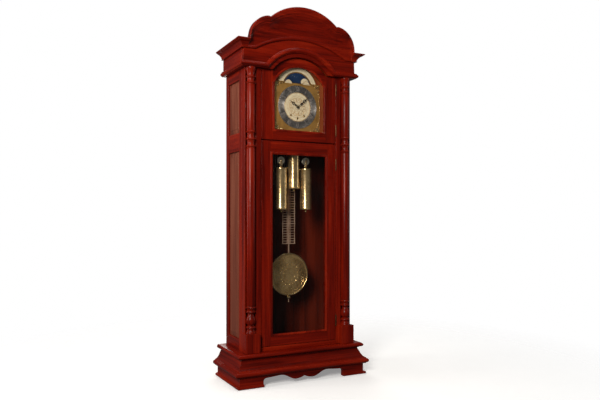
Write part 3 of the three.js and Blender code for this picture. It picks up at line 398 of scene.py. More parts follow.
RED = {
    "dark": (0.06, 0.0018, 0.0005),
    "mid": (0.185, 0.0062, 0.001),
    "light": (0.31, 0.0165, 0.003),
    # Edge tone: partly rubbed wear, partly a painted highlight along the edges.
    "edge_wear_and_highlight_tone": (0.4, 0.04, 0.016),
}
INNER = {
    "dark": (0.045, 0.004, 0.0015),
    "mid": (0.1, 0.0095, 0.003),
    "light": (0.165, 0.017, 0.0055),
    # Edge tone: partly rubbed wear, partly a painted highlight along the edges.
    "edge_wear_and_highlight_tone": (0.12, 0.02, 0.01),
    "gloss": (0.45, 0.65),
    "coat": 0.0,
    "specular": 0.1,
}
red_upright = wood("mahogany_upright", Z, **RED)
red_across = wood("mahogany_across", X, **RED)
red_deep = wood("mahogany_deep", Y, **RED)
panel_wood = wood(
    "panel_veneer", Z, (0.115, 0.026, 0.014), (0.215, 0.054, 0.029), (0.3, 0.094, 0.053),
    (0.3, 0.1, 0.06), gloss=(0.24, 0.4),
)
inner_wood = wood("inner_wood", Z, **INNER)
inner_across = wood("inner_wood_across", X, **INNER)
reveal_wood = wood(
    "reveal_wood", Z, (0.2, 0.03, 0.008), (0.34, 0.075, 0.02), (0.5, 0.14, 0.04),
    (0.5, 0.16, 0.06), gloss=(0.3, 0.45),
)
polished_brass = metal(
    "polished_brass", (0.82, 0.6, 0.3), (0.6, 0.4, 0.17), (0.16, 0.3), (500, 500, 6)
)
weight_brass = metal(
    "weight_brass", (0.74, 0.53, 0.26), (0.5, 0.33, 0.14), (0.2, 0.3), (500, 500, 6), shine=0.85
)
rod_brass = metal("rod_brass", (0.74, 0.48, 0.33), (0.46, 0.26, 0.17), (0.32, 0.46), shine=0.65)
bob_brass = metal(
    "bob_brass", (0.76, 0.51, 0.22), (0.44, 0.26, 0.09), (0.2, 0.34), relief=0.1, shine=0.8
)
dial_brass = metal(
    "dial_brass", (0.68, 0.36, 0.09), (0.46, 0.22, 0.05), (0.28, 0.42), (900, 60, 20), shine=0.6
)
movement_brass = metal(
    "movement_brass", (0.7, 0.5, 0.22), (0.45, 0.3, 0.12), (0.24, 0.4), (40, 60, 500)
)
hinge_brass = metal(
    "hinge_brass", (0.2, 0.085, 0.04), (0.1, 0.035, 0.018), (0.34, 0.5), (300, 300, 20)
)
pulley_metal = metal(
    "pulley_metal", (0.78, 0.7, 0.56), (0.52, 0.45, 0.34), (0.24, 0.38), shine=0.88
)
cable_steel = metal(
    "cable_steel", (0.55, 0.5, 0.42), (0.3, 0.26, 0.2), (0.25, 0.4), (900, 900, 900), 0.3, 1500
)
drawn_steel = metal(
    "drawn_steel", (0.6, 0.6, 0.61), (0.4, 0.39, 0.38), (0.22, 0.36), (600, 600, 12)
)
silver = spun_silver()
numeral_paint = paint("numeral_paint", (0.3, 0.26, 0.235), (0.2, 0.17, 0.15))
hand_paint = paint("blackened_steel", (0.035, 0.028, 0.022), (0.015, 0.012, 0.01), (0.28, 0.42))
night_paint = paint("night_paint", (0.01, 0.038, 0.11), (0.004, 0.014, 0.045), (0.3, 0.45), 25)
cream_paint = paint("cream_paint", (0.95, 0.81, 0.54), (0.8, 0.64, 0.4), (0.3, 0.5), 90)
glass = clear_glass()


# ---- Mesh code ----------------------------------------------------------------------

class Shell:
    """Gathers closed bodies, in millimetres, for one piece."""

    def __init__(self):
        self.points = []
        self.faces = []
        self.finishes = []
        self.current = 0

    def add(self, points, faces):
        start = len(self.points)
        self.points.extend(tuple(p) for p in points)
        self.faces.extend([start + i for i in face] for face in faces)
        self.finishes.extend([self.current] * len(faces))
        return self

    def grid(self, rings, close_path=False):
        """Skin over equal rings of points; a ring of one repeated point becomes a pole."""
        count = len(rings[0])
        points = [p for ring in rings for p in ring]
        faces = []
        spans = len(rings) if close_path else len(rings) - 1
        for r in range(spans):
            a, b = r * count, ((r + 1) % len(rings)) * count
            for i in range(count):
                j = (i + 1) % count
                faces.append([a + i, a + j, b + j, b + i])
        if not close_path:
            faces.append(list(range(count))[::-1])
            faces.append([len(points) - count + i for i in range(count)])
        return self.add(points, faces)

    def turned(self, profile, axis, at, segments=64, closed=False):
        """A turned body. Its profile lists (radius, distance along the axis)."""
        rings = []
        for radius, along in profile:
            ring = []
            for k in range(segments):
                turn = 2 * math.pi * k / segments
                a, b = radius * math.cos(turn), radius * math.sin(turn)
                offset = {X: (along, a, b), Y: (a, along, b), Z: (a, b, along)}[axis]
                ring.append(Vector(at) + Vector(offset))
            rings.append(ring)
        return self.grid(rings, close_path=closed)

    def block(self, low, high):
        ring = [(low[0], low[1]), (high[0], low[1]), (high[0], high[1]), (low[0], high[1])]
        return self.grid([[(x, y, z) for x, y in ring] for z in (low[2], high[2])])

    def faced(self, outline, front, back):
        """A plate with an outline in X and Z, between two depths."""
        return self.grid([[(x, y, z) for x, z in outline] for y in (front, back)])

    def swept(self, stations, section, closed=False):
        """A section carried through stations of (point, out, up)."""
        rings = []
        for at, out, up in stations:
            rings.append([
                Vector(at) + Vector(out) * reach + Vector(up) * height
                for reach, height in section
            ])
        return self.grid(rings, close_path=closed)

    def tube(self, path, radius, sides=8, flatten=1.0, closed=False):
        """A round bar along a path; radius may be a function of the way along it."""
        rings = []
        count = len(path)
        for i, point in enumerate(path):
            before = Vector(path[(i - 1) % count] if closed or i else path[0])
            after = Vector(path[(i + 1) % count] if closed or i < count - 1 else path[-1])
            along = (after - before).normalized()
            depth = Vector((0, 1, 0)) if abs(along.y) < 0.9 else Vector((1, 0, 0))
            side = along.cross(depth).normalized()
            r = radius(i / (count - 1)) if callable(radius) else radius
            rings.append([
                Vector(point)
                + side * r * math.cos(2 * math.pi * k / sides)
                + depth * r * flatten * math.sin(2 * math.pi * k / sides)
                for k in range(sides)
            ])
        return self.grid(rings, close_path=closed)

    def wire(self, outline, y, radius, *shape, closed=False):
        """A round bar along an outline in X and Z, at one depth."""
        return self.tube([(x, y, z) for x, z in outline], radius, *shape, closed=closed)


def soften(points, radius, steps=3):
    """Rounds the corners of a closed outline."""
    result = []
    count = len(points)
    for i, point in enumerate(points):
        corner = Vector(point)
        before, after = Vector(points[i - 1]), Vector(points[(i + 1) % count])
        reach = min(radius, (before - corner).length * 0.45, (after - corner).length * 0.45)
        start = corner + (before - corner).normalized() * reach
        end = corner + (after - corner).normalized() * reach
        for k in range(steps + 1):
            t = k / steps
            result.append(tuple(start * (1 - t) ** 2 + corner * 2 * t * (1 - t) + end * t ** 2))
    return result


def curve(p0, p1, p2, p3, steps=14):
    """Points of a cubic Bezier curve."""
    result = []
    for i in range(steps + 1):
        t = i / steps
        weights = ((1 - t) ** 3, 3 * t * (1 - t) ** 2, 3 * t * t * (1 - t), t ** 3)
        result.append(tuple(
            sum(w * p[axis] for w, p in zip(weights, (p0, p1, p2, p3))) for axis in range(2)
        ))
    return result


def arc(centre, radius, start, end, steps):
    """Points on an arc, with its angles in degrees from +X."""
    return [
        (
            centre[0] + radius * math.cos(math.radians(start + (end - start) * i / steps)),
            centre[1] + radius * math.sin(math.radians(start + (end - start) * i / steps)),
        )
        for i in range(steps + 1)
    ]


def clean(mesh, merge=SAME_POINT, flatten=0, finishes=()):
    """Merges double points, sets each face's finish, joins flat faces, turns all outward."""
    made = bmesh.new()
    made.from_mesh(mesh)
    for face, index in zip(made.faces, finishes):
        face.material_index = index
    bmesh.ops.remove_doubles(made, verts=made.verts, dist=merge)
    if flatten:
        bmesh.ops.dissolve_limit(
            made, angle_limit=math.radians(flatten), verts=made.verts, edges=made.edges
        )
    bmesh.ops.recalc_face_normals(made, faces=made.faces)
    made.to_mesh(mesh)
    made.free()


def facing(degrees):
    """The direction at an angle in X and Z, and the one a quarter turn on from it."""
    turn = math.radians(degrees)
    outward = Vector((math.cos(turn), math.sin(turn)))
    return outward, Vector((-outward.y, outward.x))


def piece(name, shell, materials, nodes, slot, bevel=0.0, smooth=35, body=None):
    """Makes one piece from a shell; it stands for its CAD nodes and rides on their body."""
    mesh = bpy.data.meshes.new(name)
    mesh.from_pydata([tuple(c / 1000 for c in p) for p in shell.points], [], shell.faces)
    clean(mesh, finishes=shell.finishes)
    return settle(name, mesh, materials, nodes, bevel, smooth, body)


def finer(node, shell, materials, slot, **look):
    """Makes the piece that stands for one CAD node."""
    return piece(f"{node}_fine", shell, materials, [node], slot, **look)


def settle(name, mesh, materials, nodes, bevel, smooth, body=None):
    """Gives a mesh its object, materials, rounded edges and body, and hides the CAD nodes it stands
    for.
    """
    obj = bpy.data.objects.new(name, mesh)
    bpy.context.scene.collection.objects.link(obj)
    for material in materials if isinstance(materials, (list, tuple)) else [materials]:
        mesh.materials.append(material)
    mesh.shade_smooth()
    mesh.set_sharp_from_angle(angle=math.radians(smooth))
    if bevel:
        rounding = obj.modifiers.new("rounded_edges", "BEVEL")
        rounding.width = bevel / 1000
        rounding.segments = 3
        rounding.limit_method = "ANGLE"
        rounding.angle_limit = math.radians(SHARP_FROM)
        rounding.harden_normals = True
    if body != BLENDED:
        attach(obj, body or BODY_OF[nodes[0]])
    if nodes:
        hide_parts(*nodes)
    return obj


def refined(node, material, bevel=1.5):
    """A copy of a CAD node with its flat faces cleaned and its edges rounded."""
    mesh = frame["nodes"][node].data.copy()
    mesh.materials.clear()
    clean(mesh, merge=1e-5, flatten=0.6)
    return settle(f"{node}_fine", mesh, material, [node], bevel, SHARP_FROM)


# ---- Base ---------------------------------------------------------------------------

def apron_lower_edge(inner):
    """Half of the front apron's lower edge, from the foot in to the centre."""
    edge = [(inner, 0), (inner, 28)]
    edge += curve((inner, 30), (inner - 1, 42), (inner - 10, 48), (inner - 24, 48))
    edge += curve((inner - 26, 48.2), (192, 50), (172, 54), (150, 54))[1:]
    edge += curve((150, 54), (110, 52), (92, 22), (54, 21))[1:]
    edge += curve((54, 21), (34, 22), (16, 26), (0, 35))[1:]
    return edge


def build_aprons():
    low, high = box_mm("base_apron_front")
    half = high.x - FOOT_BEAD
    front = low.y + FOOT_BEAD
    inner = half - FOOT_WIDTH
    edge = apron_lower_edge(inner)
    mirrored = [(-x, z) for x, z in edge[:-1]]
    board = [(half, high.z), (-half, high.z), (-half, 0), *mirrored, *edge[::-1], (half, 0)]
    apron = Shell().faced(board, front, high.y)
    bead = soften([
        (0, 0.2), (FOOT_BEAD, 0.2), (FOOT_BEAD, FOOT_BEAD_HEIGHT - 3),
        (2, FOOT_BEAD_HEIGHT), (0, FOOT_BEAD_HEIGHT),
    ], 4)
    for side in (-1, 1):
        apron.swept([
            ((side * inner, front + 1, 0), (0, -1, 0), (0, 0, 1)),
            ((side * half, front + 1, 0), (side, -1, 0), (0, 0, 1)),
            ((side * half, high.y, 0), (side, 0, 0), (0, 0, 1)),
        ], bead)
    piece("apron_front", apron, red_across, ["base_apron_front"], "mahogany", 1.2)

    for name, side in SIDES:
        low, high = box_mm(f"base_apron_{name}")
        inner_x = low.x if side > 0 else high.x
        outer_x = side * half
        bead_x = outer_x + side * FOOT_BEAD
        section = [
            (inner_x, 0), (bead_x, 0), (bead_x, FOOT_BEAD_HEIGHT - 3),
            (outer_x + side * 2, FOOT_BEAD_HEIGHT), (outer_x, FOOT_BEAD_HEIGHT + 3),
            (outer_x, high.z), (inner_x, high.z),
        ]
        apron = Shell().faced(soften(section, 2.5), low.y, high.y)
        piece(f"apron_{name}", apron, red_deep, [f"base_apron_{name}"], "mahogany", 1.0)


def build_base_moulding():
    """A bold nose between fillets, a long ogee drawn in to a neck, and a cap."""
    low, high = box_mm("base_moulding")
    case_half = box_mm("side_frame_right")[1].x
    case_front = box_mm("bottom_rail")[0].y
    nose = high.x - case_half
    bottom, top = low.z, high.z
    lap = bottom + BOARD + GAP
    steps_in = [
        (14, 0), (13, 5), (8, 6), (2, 11), (0, 18), (2, 26), (8, 31), (13, 32), (13, 36),
        (19, 38), (27, 44), (35, 54), (41, 66), (46, 78), (52, 88), (54, 95), (47, 96),
        (42, 101), (31, 103), (26, 108), (25, 114), (28, 120),
    ]
    section = [
        (BOTTOM_LAP + GAP, bottom),
        *((nose - back, bottom + up) for back, up in steps_in),
        (nose - 34, top), (GAP, top), (GAP, lap), (BOTTOM_LAP + GAP, lap),
    ]
    stations = [
        ((-case_half, high.y, 0), (-1, 0, 0), (0, 0, 1)),
        ((-case_half, case_front, 0), (-1, -1, 0), (0, 0, 1)),
        ((case_half, case_front, 0), (1, -1, 0), (0, 0, 1)),
        ((case_half, high.y, 0), (1, 0, 0), (0, 0, 1)),
    ]
    moulding = Shell().swept(stations, soften(section, 1.6, steps=2))
    turning = wood("mahogany_base", X, **RED, turned=beside(case_half, case_front), other=Y)
    finer("base_moulding", moulding, turning, "mahogany", smooth=40)


def build_base():
    build_aprons()
    build_base_moulding()
    refined("bottom_board", inner_across)


# ---- Case ---------------------------------------------------------------------------

def raised_panel(side, low, high):
    """A fielded panel: a sunk margin, an ogee bevel and a flat field."""
    face = high.x if side > 0 else -low.x
    back = low.x if side > 0 else -high.x
    steps = [
        (0, back), (0, face - 6), (7, face - 6), (8, face - 5), (12, face - 4.4), (18, face - 3.4),
        (24, face - 2), (26, face - 1.9), (26.5, face - 0.1), (28, face), (34, face),
    ]
    rings = []
    for inset, x in steps:
        rings.append([
            (side * x, low.y + inset, low.z + inset), (side * x, high.y - inset, low.z + inset),
            (side * x, high.y - inset, high.z - inset), (side * x, low.y + inset, high.z - inset),
        ])
    return Shell().grid(rings)


def ring_group(radius, z, swell):
    """A turned bead between two fillets."""
    bead = [
        (radius + swell * math.cos(a) - 1.5, z + 4.2 * math.sin(a))
        for a in (math.radians(d) for d in range(-80, 81, 20))
    ]
    return [(radius - 3, z - 7), (radius - 1, z - 6.8), (radius - 1, z - 5), *bead,
            (radius - 1, z + 5), (radius - 1, z + 6.8), (radius - 3, z + 7)]


def vase(bottom, foot, waist, belly, top, lip):
    """A vase: a narrow foot, a full belly and a drawn-in neck."""
    rising = curve(
        (foot, bottom), (waist, bottom + 3), (belly - 1, bottom + 6), (belly, bottom + 26), 7
    )
    drawn_in = curve(
        (belly, bottom + 28), (belly, bottom + 46), (lip + 1, top - 14), (lip, top), 9
    )
    return rising + drawn_in


def column_profile(bottom, top, split):
    """Full length: base rings, a vase, two shafts that meet in rings, and a ringed cap."""
    r = COLUMN_RADIUS
    return [
        (POLE, bottom), (r + 4, bottom), (r + 4, bottom + 8), (r + 2.5, bottom + 10),
        (r, bottom + 12), (r - 2, bottom + 18), *ring_group(r, 332, 4.5),
        *vase(343, r - 8, r - 9, r + 3, 410, r - 9), *ring_group(r - 1, 422, 4),
        (r - 3, 432), *ring_group(r, 446, 4.5), (r - 1, 456), (r, 462), (r, 1358),
        (r - 1, 1362), *ring_group(r, 1373, 4.5), (r - 5, 1386), (r - 4, 1398),
        *ring_group(r + 0.5, split - 3, 5), (r - 4, 1430), (r - 5, 1442),
        *ring_group(r, 1456, 4.5), (r - 1, 1470), (r - 1, 1726), *ring_group(r, 1738, 4.5),
        (r - 4, 1748), (r - 4.5, 1758), *ring_group(r, 1771, 4.5), (r - 4, 1782), (r - 3, 1794),
        (r + 1, 1808), (r + 2, 1813), (r + 4, 1816), (r + 4, top), (POLE, top),
    ]


def build_case():
    split = (box_mm("trunk_door_frame")[1].z + box_mm("dial_door_frame")[0].z) / 2
    low, high = box_mm("side_panel_left")
    upper = box_mm("access_panel_left")
    levels = [(0, low.z), (high.z, upper[0].z), (upper[1].z, ABOVE_ALL)]
    rails = on_rails(Y, (low.y + high.y) / 2, (high.y - low.y) / 2, levels)
    framing = wood("mahogany_side_frame", Z, **RED, turned=rails, other=Y)
    for name, side in SIDES:
        refined(f"side_frame_{name}", framing, 2)
        refined(f"corner_post_{name}", red_upright, 1.6)
        for node in (f"side_panel_{name}", f"access_panel_{name}"):
            panel = raised_panel(side, *box_mm(node))
            finer(node, panel, panel_wood, "panel_wood", smooth=25)
        node = f"column_{name}"
        (low, high), axis = box_mm(node), centre_mm(node)
        profile = column_profile(low.z, high.z, split)
        turned = Shell().turned(profile, Z, (axis.x, axis.y, 0))
        finer(node, turned, red_upright, "mahogany", smooth=50)
    refined("back_panel", inner_wood)
    refined("bottom_rail", red_across, 2)
    refined("waist_rail", red_across, 1.5)


# ---- Hood and crown -----------------------------------------------------------------

def crest_height(x, crest, cornice):
    """The crown's upper edge: level cornice, side lobe, then the centre arch."""
    d = abs(x)
    notch_z = crest - CREST_RISE
    if d >= LOBE_OUTER:
        return cornice
    if d >= CREST_NOTCH:
        t = (LOBE_OUTER - d) / (LOBE_OUTER - CREST_NOTCH)
        foot = cornice + 14
        return foot + (notch_z + 4 - foot) * math.sqrt(1 - (1 - t) ** 2)
    radius = (CREST_NOTCH ** 2 + CREST_RISE ** 2) / (2 * CREST_RISE)
    return crest - radius + math.sqrt(radius ** 2 - d ** 2)


def crown_foot(x, level):
    """The crown's lower edge: level at the corners, arched over the dial."""
    radius = (FRIEZE_ARCH_HALF ** 2 + CREST_RISE ** 2) / (2 * CREST_RISE)
    d = min(abs(x), FRIEZE_ARCH_HALF)
    return level + CREST_RISE - radius + math.sqrt(radius ** 2 - d ** 2)


def crown_places(half):
    """Where the crown's section stands along the front, closer together on the lobes."""
    lobe_steps, arch_steps = 18, 26
    width = LOBE_OUTER - CREST_NOTCH
    xs = [half, LOBE_OUTER + 0.4]
    for i in range(lobe_steps + 1):
        xs.append(LOBE_OUTER - width * (1 - math.cos(math.pi / 2 * i / lobe_steps)) - 0.1)
    for i in range(arch_steps):
        xs.append(CREST_NOTCH * (1 - i / arch_steps) - (0.4 if i == 0 else 0))
    return [-x for x in xs] + [0] + xs[::-1]


def build_crown(half, front, material):
    """A cove along both sides that sweeps up over the front.

    Its section is drawn for a height of 1 and stretched to the local height.
    """
    low, high = box_mm("crown_moulding")
    reach = high.x - half
    cornice = box_mm("top_board")[1].z
    section = soften([
        (GAP, 0), (8, 0), (12, 0.025), (13, 0.06), (10, 0.1), (8.5, 0.13), (10, 0.2), (13, 0.34),
        (18, 0.48), (25, 0.61), (34, 0.71), (37, 0.73), (37, 0.765), (41, 0.79), (44, 0.82),
        (44, 0.86), (reach - 1, 0.885), (reach, 0.93), (reach - 1, 0.975), (reach - 4, 1), (GAP, 1),
    ], 0.6, steps=2)

    def station(x, y, out):
        foot = crown_foot(x, low.z)
        return (x, y, foot), out, (0, 0, crest_height(x, high.z, cornice) - foot)

    xs = crown_places(half)
    stations = [station(-half, high.y, (-1, 0, 0))]
    for i, x in enumerate(xs):
        corner = i in (0, len(xs) - 1)
        stations.append(station(x, front, (math.copysign(1, x) if corner else 0, -1, 0)))
    stations.append(station(half, high.y, (1, 0, 0)))
    crown = Shell().swept(stations, section)
    piece("crown_fine", crown, material, ["crown_moulding"], "mahogany", smooth=40)


def build_eyebrow(half, front, material):
    """The moulding under the frieze: level at the sides, arched over the dial door."""
    low, high = box_mm("hood_moulding")
    bottom = low.z
    height = box_mm("frieze_left")[0].z - bottom - GAP
    section = soften([
        (GAP, 0), (8, 0), (9, height * 0.12), (14, height * 0.16), (17.5, height * 0.3),
        (18, height * 0.5), (16.5, height * 0.66), (12, height * 0.72), (11, height * 0.84),
        (8, height), (GAP, height),
    ], 1.2, steps=2)
    spring = math.sqrt(MOULDING_ARCH ** 2 - (bottom - ARCH_Z) ** 2)
    start = math.degrees(math.atan2(bottom - ARCH_Z, spring))
    arch = arc((0, ARCH_Z), MOULDING_ARCH, 180 - start, start, 48)
    stations = [
        ((-half, high.y, bottom), (-1, 0, 0), (0, 0, 1)),
        ((-half, front, bottom), (-1, -1, 0), (0, 0, 1)),
    ]
    for i, (x, z) in enumerate(arch):
        radial = Vector((x, 0, z - ARCH_Z)).normalized()
        if i in (0, len(arch) - 1):
            radial = (radial + Vector((0, 0, 1))).normalized()
            radial = radial / radial.z
        stations.append(((x, front, z), (0, -1, 0), radial))
    stations += [
        ((half, front, bottom), (1, -1, 0), (0, 0, 1)),
        ((half, high.y, bottom), (1, 0, 0), (0, 0, 1)),
    ]
    eyebrow = Shell().swept(stations, section)
    case_half = box_mm("side_frame_right")[1].x
    case_front = box_mm("bottom_rail")[0].y
    ledges = (
        (spring + LEDGE_START, front - 1, case_front - GAP),
        (case_half + GAP, case_front - 1, high.y),
    )
    for side in (-1, 1):
        for inner, near, far in ledges:
            left, right = sorted((side * inner, side * (half + 1)))
            eyebrow.block((left, near, bottom), (right, far, bottom + height))
    piece("eyebrow_moulding", eyebrow, material, ["hood_moulding"], "mahogany", smooth=40)


def build_hood():
    board_low, board_high = box_mm("pediment_board")
    half, front = board_high.x + 1, board_low.y
    turning = wood("mahogany_hood", X, **RED, turned=beside(half, front), other=Y)
    build_crown(half, front, turning)
    build_eyebrow(half, front, turning)
    refined("pediment_board", red_across, 1)
    for name, _ in SIDES:
        refined(f"frieze_{name}", red_deep, 1.5)
    refined("top_board", inner_across, 1.5)


# ---- Doors --------------------------------------------------------------------------

def bead_round(shell, path, front, width, proud):
    """A half-round bead along a closed path round a door's light."""
    count = len(path)
    stations = []
    for i, point in enumerate(path):
        before, after = Vector(path[i - 1]), Vector(path[(i + 1) % count])
        here = Vector(point)
        first = (here - before).normalized()
        second = (after - here).normalized()
        normal = Vector((-first.y, first.x)) + Vector((-second.y, second.x))
        normal = normal / max(0.5, normal.length_squared / 2)
        stations.append(((here.x, front, here.y), (normal.x, 0, normal.y), (0, -1, 0)))
    section = [(-1.5, -7), (-1.5, -1.4), (0, -1)]
    for k in range(9):
        turn = math.pi * k / 8
        section.append((width / 2 - width / 2 * math.cos(turn), proud * math.sin(turn)))
    section += [(width + 2, 0), (width + 4, -0.3), (width + 4, -7)]
    return shell.swept(stations, section, closed=True)


def build_door(name, light, rails):
    """A door's frame, with its grain turned on the rails, and the bead round its light."""
    half = box_mm(f"{name}_glass")[1].x - GLASS_TUCK
    framing = wood(
        f"mahogany_{name}", Z, **RED, turned=on_rails(X, 0, half, rails), other=X
    )
    refined(f"{name}_frame", framing, 2.2)
    front = box_mm("trunk_door_frame")[0].y
    bead = bead_round(Shell(), light, front, 9, 2.6)
    piece(f"{name}_bead", bead, framing, [], "mahogany", body=name, smooth=50)


def build_trunk_door():
    low, high = box_mm("trunk_door_glass")
    half = high.x - GLASS_TUCK
    bottom, top = low.z + GLASS_TUCK, high.z - GLASS_TUCK
    light = [(-half, bottom), (half, bottom), (half, top), (-half, top)]
    build_door("trunk_door", light, [(0, bottom), (top, ABOVE_ALL)])


def build_dial_door():
    low, high = box_mm("dial_door_glass")
    half = high.x - GLASS_TUCK
    bottom = low.z + GLASS_TUCK
    start = math.degrees(math.acos(half / OPENING_ARCH))
    light = [(-half, bottom), (half, bottom)]
    light += arc((0, ARCH_Z), OPENING_ARCH, start, 180 - start, 40)
    spring = ARCH_Z + math.sqrt(OPENING_ARCH ** 2 - half ** 2)
    build_door("dial_door", light, [(0, bottom), (spring, ABOVE_ALL)])


def build_hinge(node):
    """Five knuckles on a pin, and a leaf let in beside the post."""
    low, high = box_mm(node)
    r = (high.x - low.x) / 2
    axis = (low.x + r, low.y + r, (low.z + high.z) / 2)
    reach = (high.z - low.z) / 2
    profile = [(POLE, -reach), (r * 0.6, -reach + 0.4), (r * 0.9, -reach + 2)]
    knuckles = 5
    pitch = (2 * reach - 6) / knuckles
    for k in range(knuckles):
        z = -reach + 3 + k * pitch
        profile += [(r * 0.8, z), (r, z + 0.5), (r, z + pitch - 0.5), (r * 0.8, z + pitch)]
    profile += [(r * 0.9, reach - 2), (r * 0.6, reach - 0.4), (POLE, reach)]
    hinge = Shell().turned(profile, Z, axis, 32)
    hinge.block((axis[0] - 0.8, axis[1], low.z), (axis[0] + 0.8, high.y, high.z))
    finer(node, hinge, hinge_brass, "hinge_brass", smooth=40)


def build_doors():
    build_trunk_door()
    build_dial_door()
    for node in ("dial_hinge_lower", "dial_hinge_upper", "trunk_hinge_lower", "trunk_hinge_upper"):
        build_hinge(node)
    for node in ("trunk_door_glass", "dial_door_glass"):
        for slot in frame["nodes"][node].material_slots:
            slot.material = glass


# ---- Dial ---------------------------------------------------------------------------

NUMERALS = ("XII", "I", "II", "III", "IIII", "V", "VI", "VII", "VIII", "IX", "X", "XI")
STROKES = {
    "I": (0.36, [(0.18, 0.18)]),
    "V": (0.84, [(0.14, 0.42), (0.7, 0.42)]),
    "X": (0.84, [(0.12, 0.72), (0.72, 0.12)]),
}


def on_dial(centre, angle, radius, across):
    """A point at a clockwise angle from twelve, moved across the radius."""
    turn = math.radians(angle)
    x = radius * math.sin(turn) + across * math.cos(turn)
    z = radius * math.cos(turn) - across * math.sin(turn)
    return centre[0] + x, centre[1] + z


def add_numeral(shell, text, angle, centre, front):
    """Roman strokes with serifs, tops outward."""
    outer, height = NUMERAL_TOP, NUMERAL_HEIGHT
    size = height * 0.62
    width = sum(STROKES[c][0] for c in text) * size
    left = -width / 2

    def bar(x0, x1, r0, r1, thick):
        ring = []
        for x, r, side in ((x0, r0, -1), (x0, r0, 1), (x1, r1, 1), (x1, r1, -1)):
            ring.append(on_dial(centre, angle, outer - height + r * height, x + side * thick / 2))
        shell.faced(ring, front - 0.25, front + 0.05)

    for letter in text:
        advance, strokes = STROKES[letter]
        for i, (top, foot) in enumerate(strokes):
            thin = letter != "I" and i == 1
            bar(left + foot * size, left + top * size, 0, 1, size * (0.09 if thin else 0.2))
        left += advance * size
    end = width / 2 - 0.5
    for middle in (outer - height, outer):
        serif = [
            on_dial(centre, angle, middle + rise * 0.025 * height, across)
            for rise, across in ((-1, -end), (-1, end), (1, end), (1, -end))
        ]
        shell.faced(serif, front - 0.25, front + 0.05)


def band(shell, centre, inner, outer, front, back, segments=96):
    """A flat ring that faces forward."""
    profile = [(inner, back), (outer, back), (outer, front), (inner, front)]
    return shell.turned(profile, Y, (centre[0], 0, centre[1]), segments, closed=True)


def spiral(centre, start, turns, r0, r1, steps=28):
    """A scroll in X and Z, winding from radius r0 to r1."""
    points = []
    for i in range(steps + 1):
        t = i / steps
        angle = start + turns * 2 * math.pi * t
        r = r0 + (r1 - r0) * t
        points.append((centre[0] + r * math.cos(angle), centre[1] + r * math.sin(angle)))
    return points


def spandrel(shell, corner, inward, front):
    """Leafy scrolls that fill one corner of the dial."""
    cx, cz = corner
    sx, sz = inward

    def place(points):
        return [(cx + sx * u, front, cz + sz * v) for u, v in points]

    def taper(t):
        return 1.9 * (1 - t) + 0.7

    shapes = [
        spiral((23, 11), math.radians(200), -1.35, 9, 2),
        spiral((43, 8), math.radians(190), -1.2, 6, 1.5),
        spiral((59, 6.5), math.radians(190), -1.0, 4, 1.2),
    ]
    for shape in shapes:
        for mirrored in (False, True):
            points = [(v, u) for u, v in shape] if mirrored else shape
            shell.tube(place(points), taper, 8, 0.7)
    stem = curve((8, 8), (14, 13), (20, 20), (27, 27), 10)
    shell.tube(place(stem), lambda t: 2.6 * (1 - t) + 1.2, 8, 0.8)
    for spread in (-0.6, -0.2, 0.2, 0.6):
        tip = (22 + 9 * math.cos(math.pi / 4 + spread), 22 + 9 * math.sin(math.pi / 4 + spread))
        leaf = curve((13, 13), (17, 17), (20, 20), tip, 8)
        shell.tube(place(leaf), lambda t: 0.5 + 1.7 * math.sin(math.pi * min(1, t + 0.1)), 8, 0.6)


def moon_window(centre_z, sill):
    """An arch whose sill rises into two rounded horizons."""
    rise = math.degrees(math.asin((sill - centre_z) / MOON_WINDOW))
    points = arc((0, centre_z), MOON_WINDOW, rise, 180 - rise, 40)
    for side in (-1, 1):
        points += horizon(side, MOON_HUMP, sill, 26.6, 0.67, 16)
    return points


def horizon(side, half, foot, lift, pull, steps):
    """One rounded horizon, as a Bezier curve over its foot."""
    x0, x1 = side * MOON_HUMP_X - half, side * MOON_HUMP_X + half
    top = foot + lift
    return curve((x0, foot), (x0 + half * pull, top), (x1 - half * pull, top), (x1, foot), steps)


def filled(name, outlines, front, back, material, nodes, body=None, bevel=0.0):
    """A plate from one outline with holes, in X and Z."""
    data = bpy.data.curves.new(name, "CURVE")
    data.dimensions = "2D"
    data.fill_mode = "BOTH"
    data.extrude = (back - front) / 2000
    for outline in outlines:
        spline = data.splines.new("POLY")
        spline.points.add(len(outline) - 1)
        for point, (x, z) in zip(spline.points, outline):
            point.co = (x / 1000, z / 1000, 0, 1)
        spline.use_cyclic_u = True
    shape = bpy.data.objects.new(name, data)
    bpy.context.scene.collection.objects.link(shape)
    mesh = bpy.data.meshes.new_from_object(shape)
    bpy.data.objects.remove(shape)
    for vertex in mesh.vertices:
        x, z, depth = vertex.co
        vertex.co = (x, (front + back) / 2000 - depth, z)
    clean(mesh, flatten=0.5)
    mesh.materials.clear()
    return settle(name, mesh, material, nodes, bevel, 35, body)


def dial_places():
    """The places that the dial's pieces share."""
    low, high = box_mm("dial_plate")
    ring_low, ring_high = box_mm("chapter_ring")
    centre = ((ring_low.x + ring_high.x) / 2, (ring_low.z + ring_high.z) / 2)
    out, down, stagger = WINDING_HOLE
    return SimpleNamespace(
        centre=centre, moon_z=centre_mm("moon_disc").z, half=high.x, bottom=low.z,
        front=low.y, back=high.y, ring=ring_low.y, sill=centre[1] + MOON_SILL,
        shoulder=centre[1] + DIAL_HALF_HEIGHT,
        winders=[
            (centre[0] + step * out, centre[1] - down - (0 if step else stagger))
            for _, step in THREE_WAYS
        ],
    )


def rise_at(dial, height, radius):
    """Degrees from level to where an arc round the moon crosses a height."""
    return math.degrees(math.asin((height - dial.moon_z) / radius))


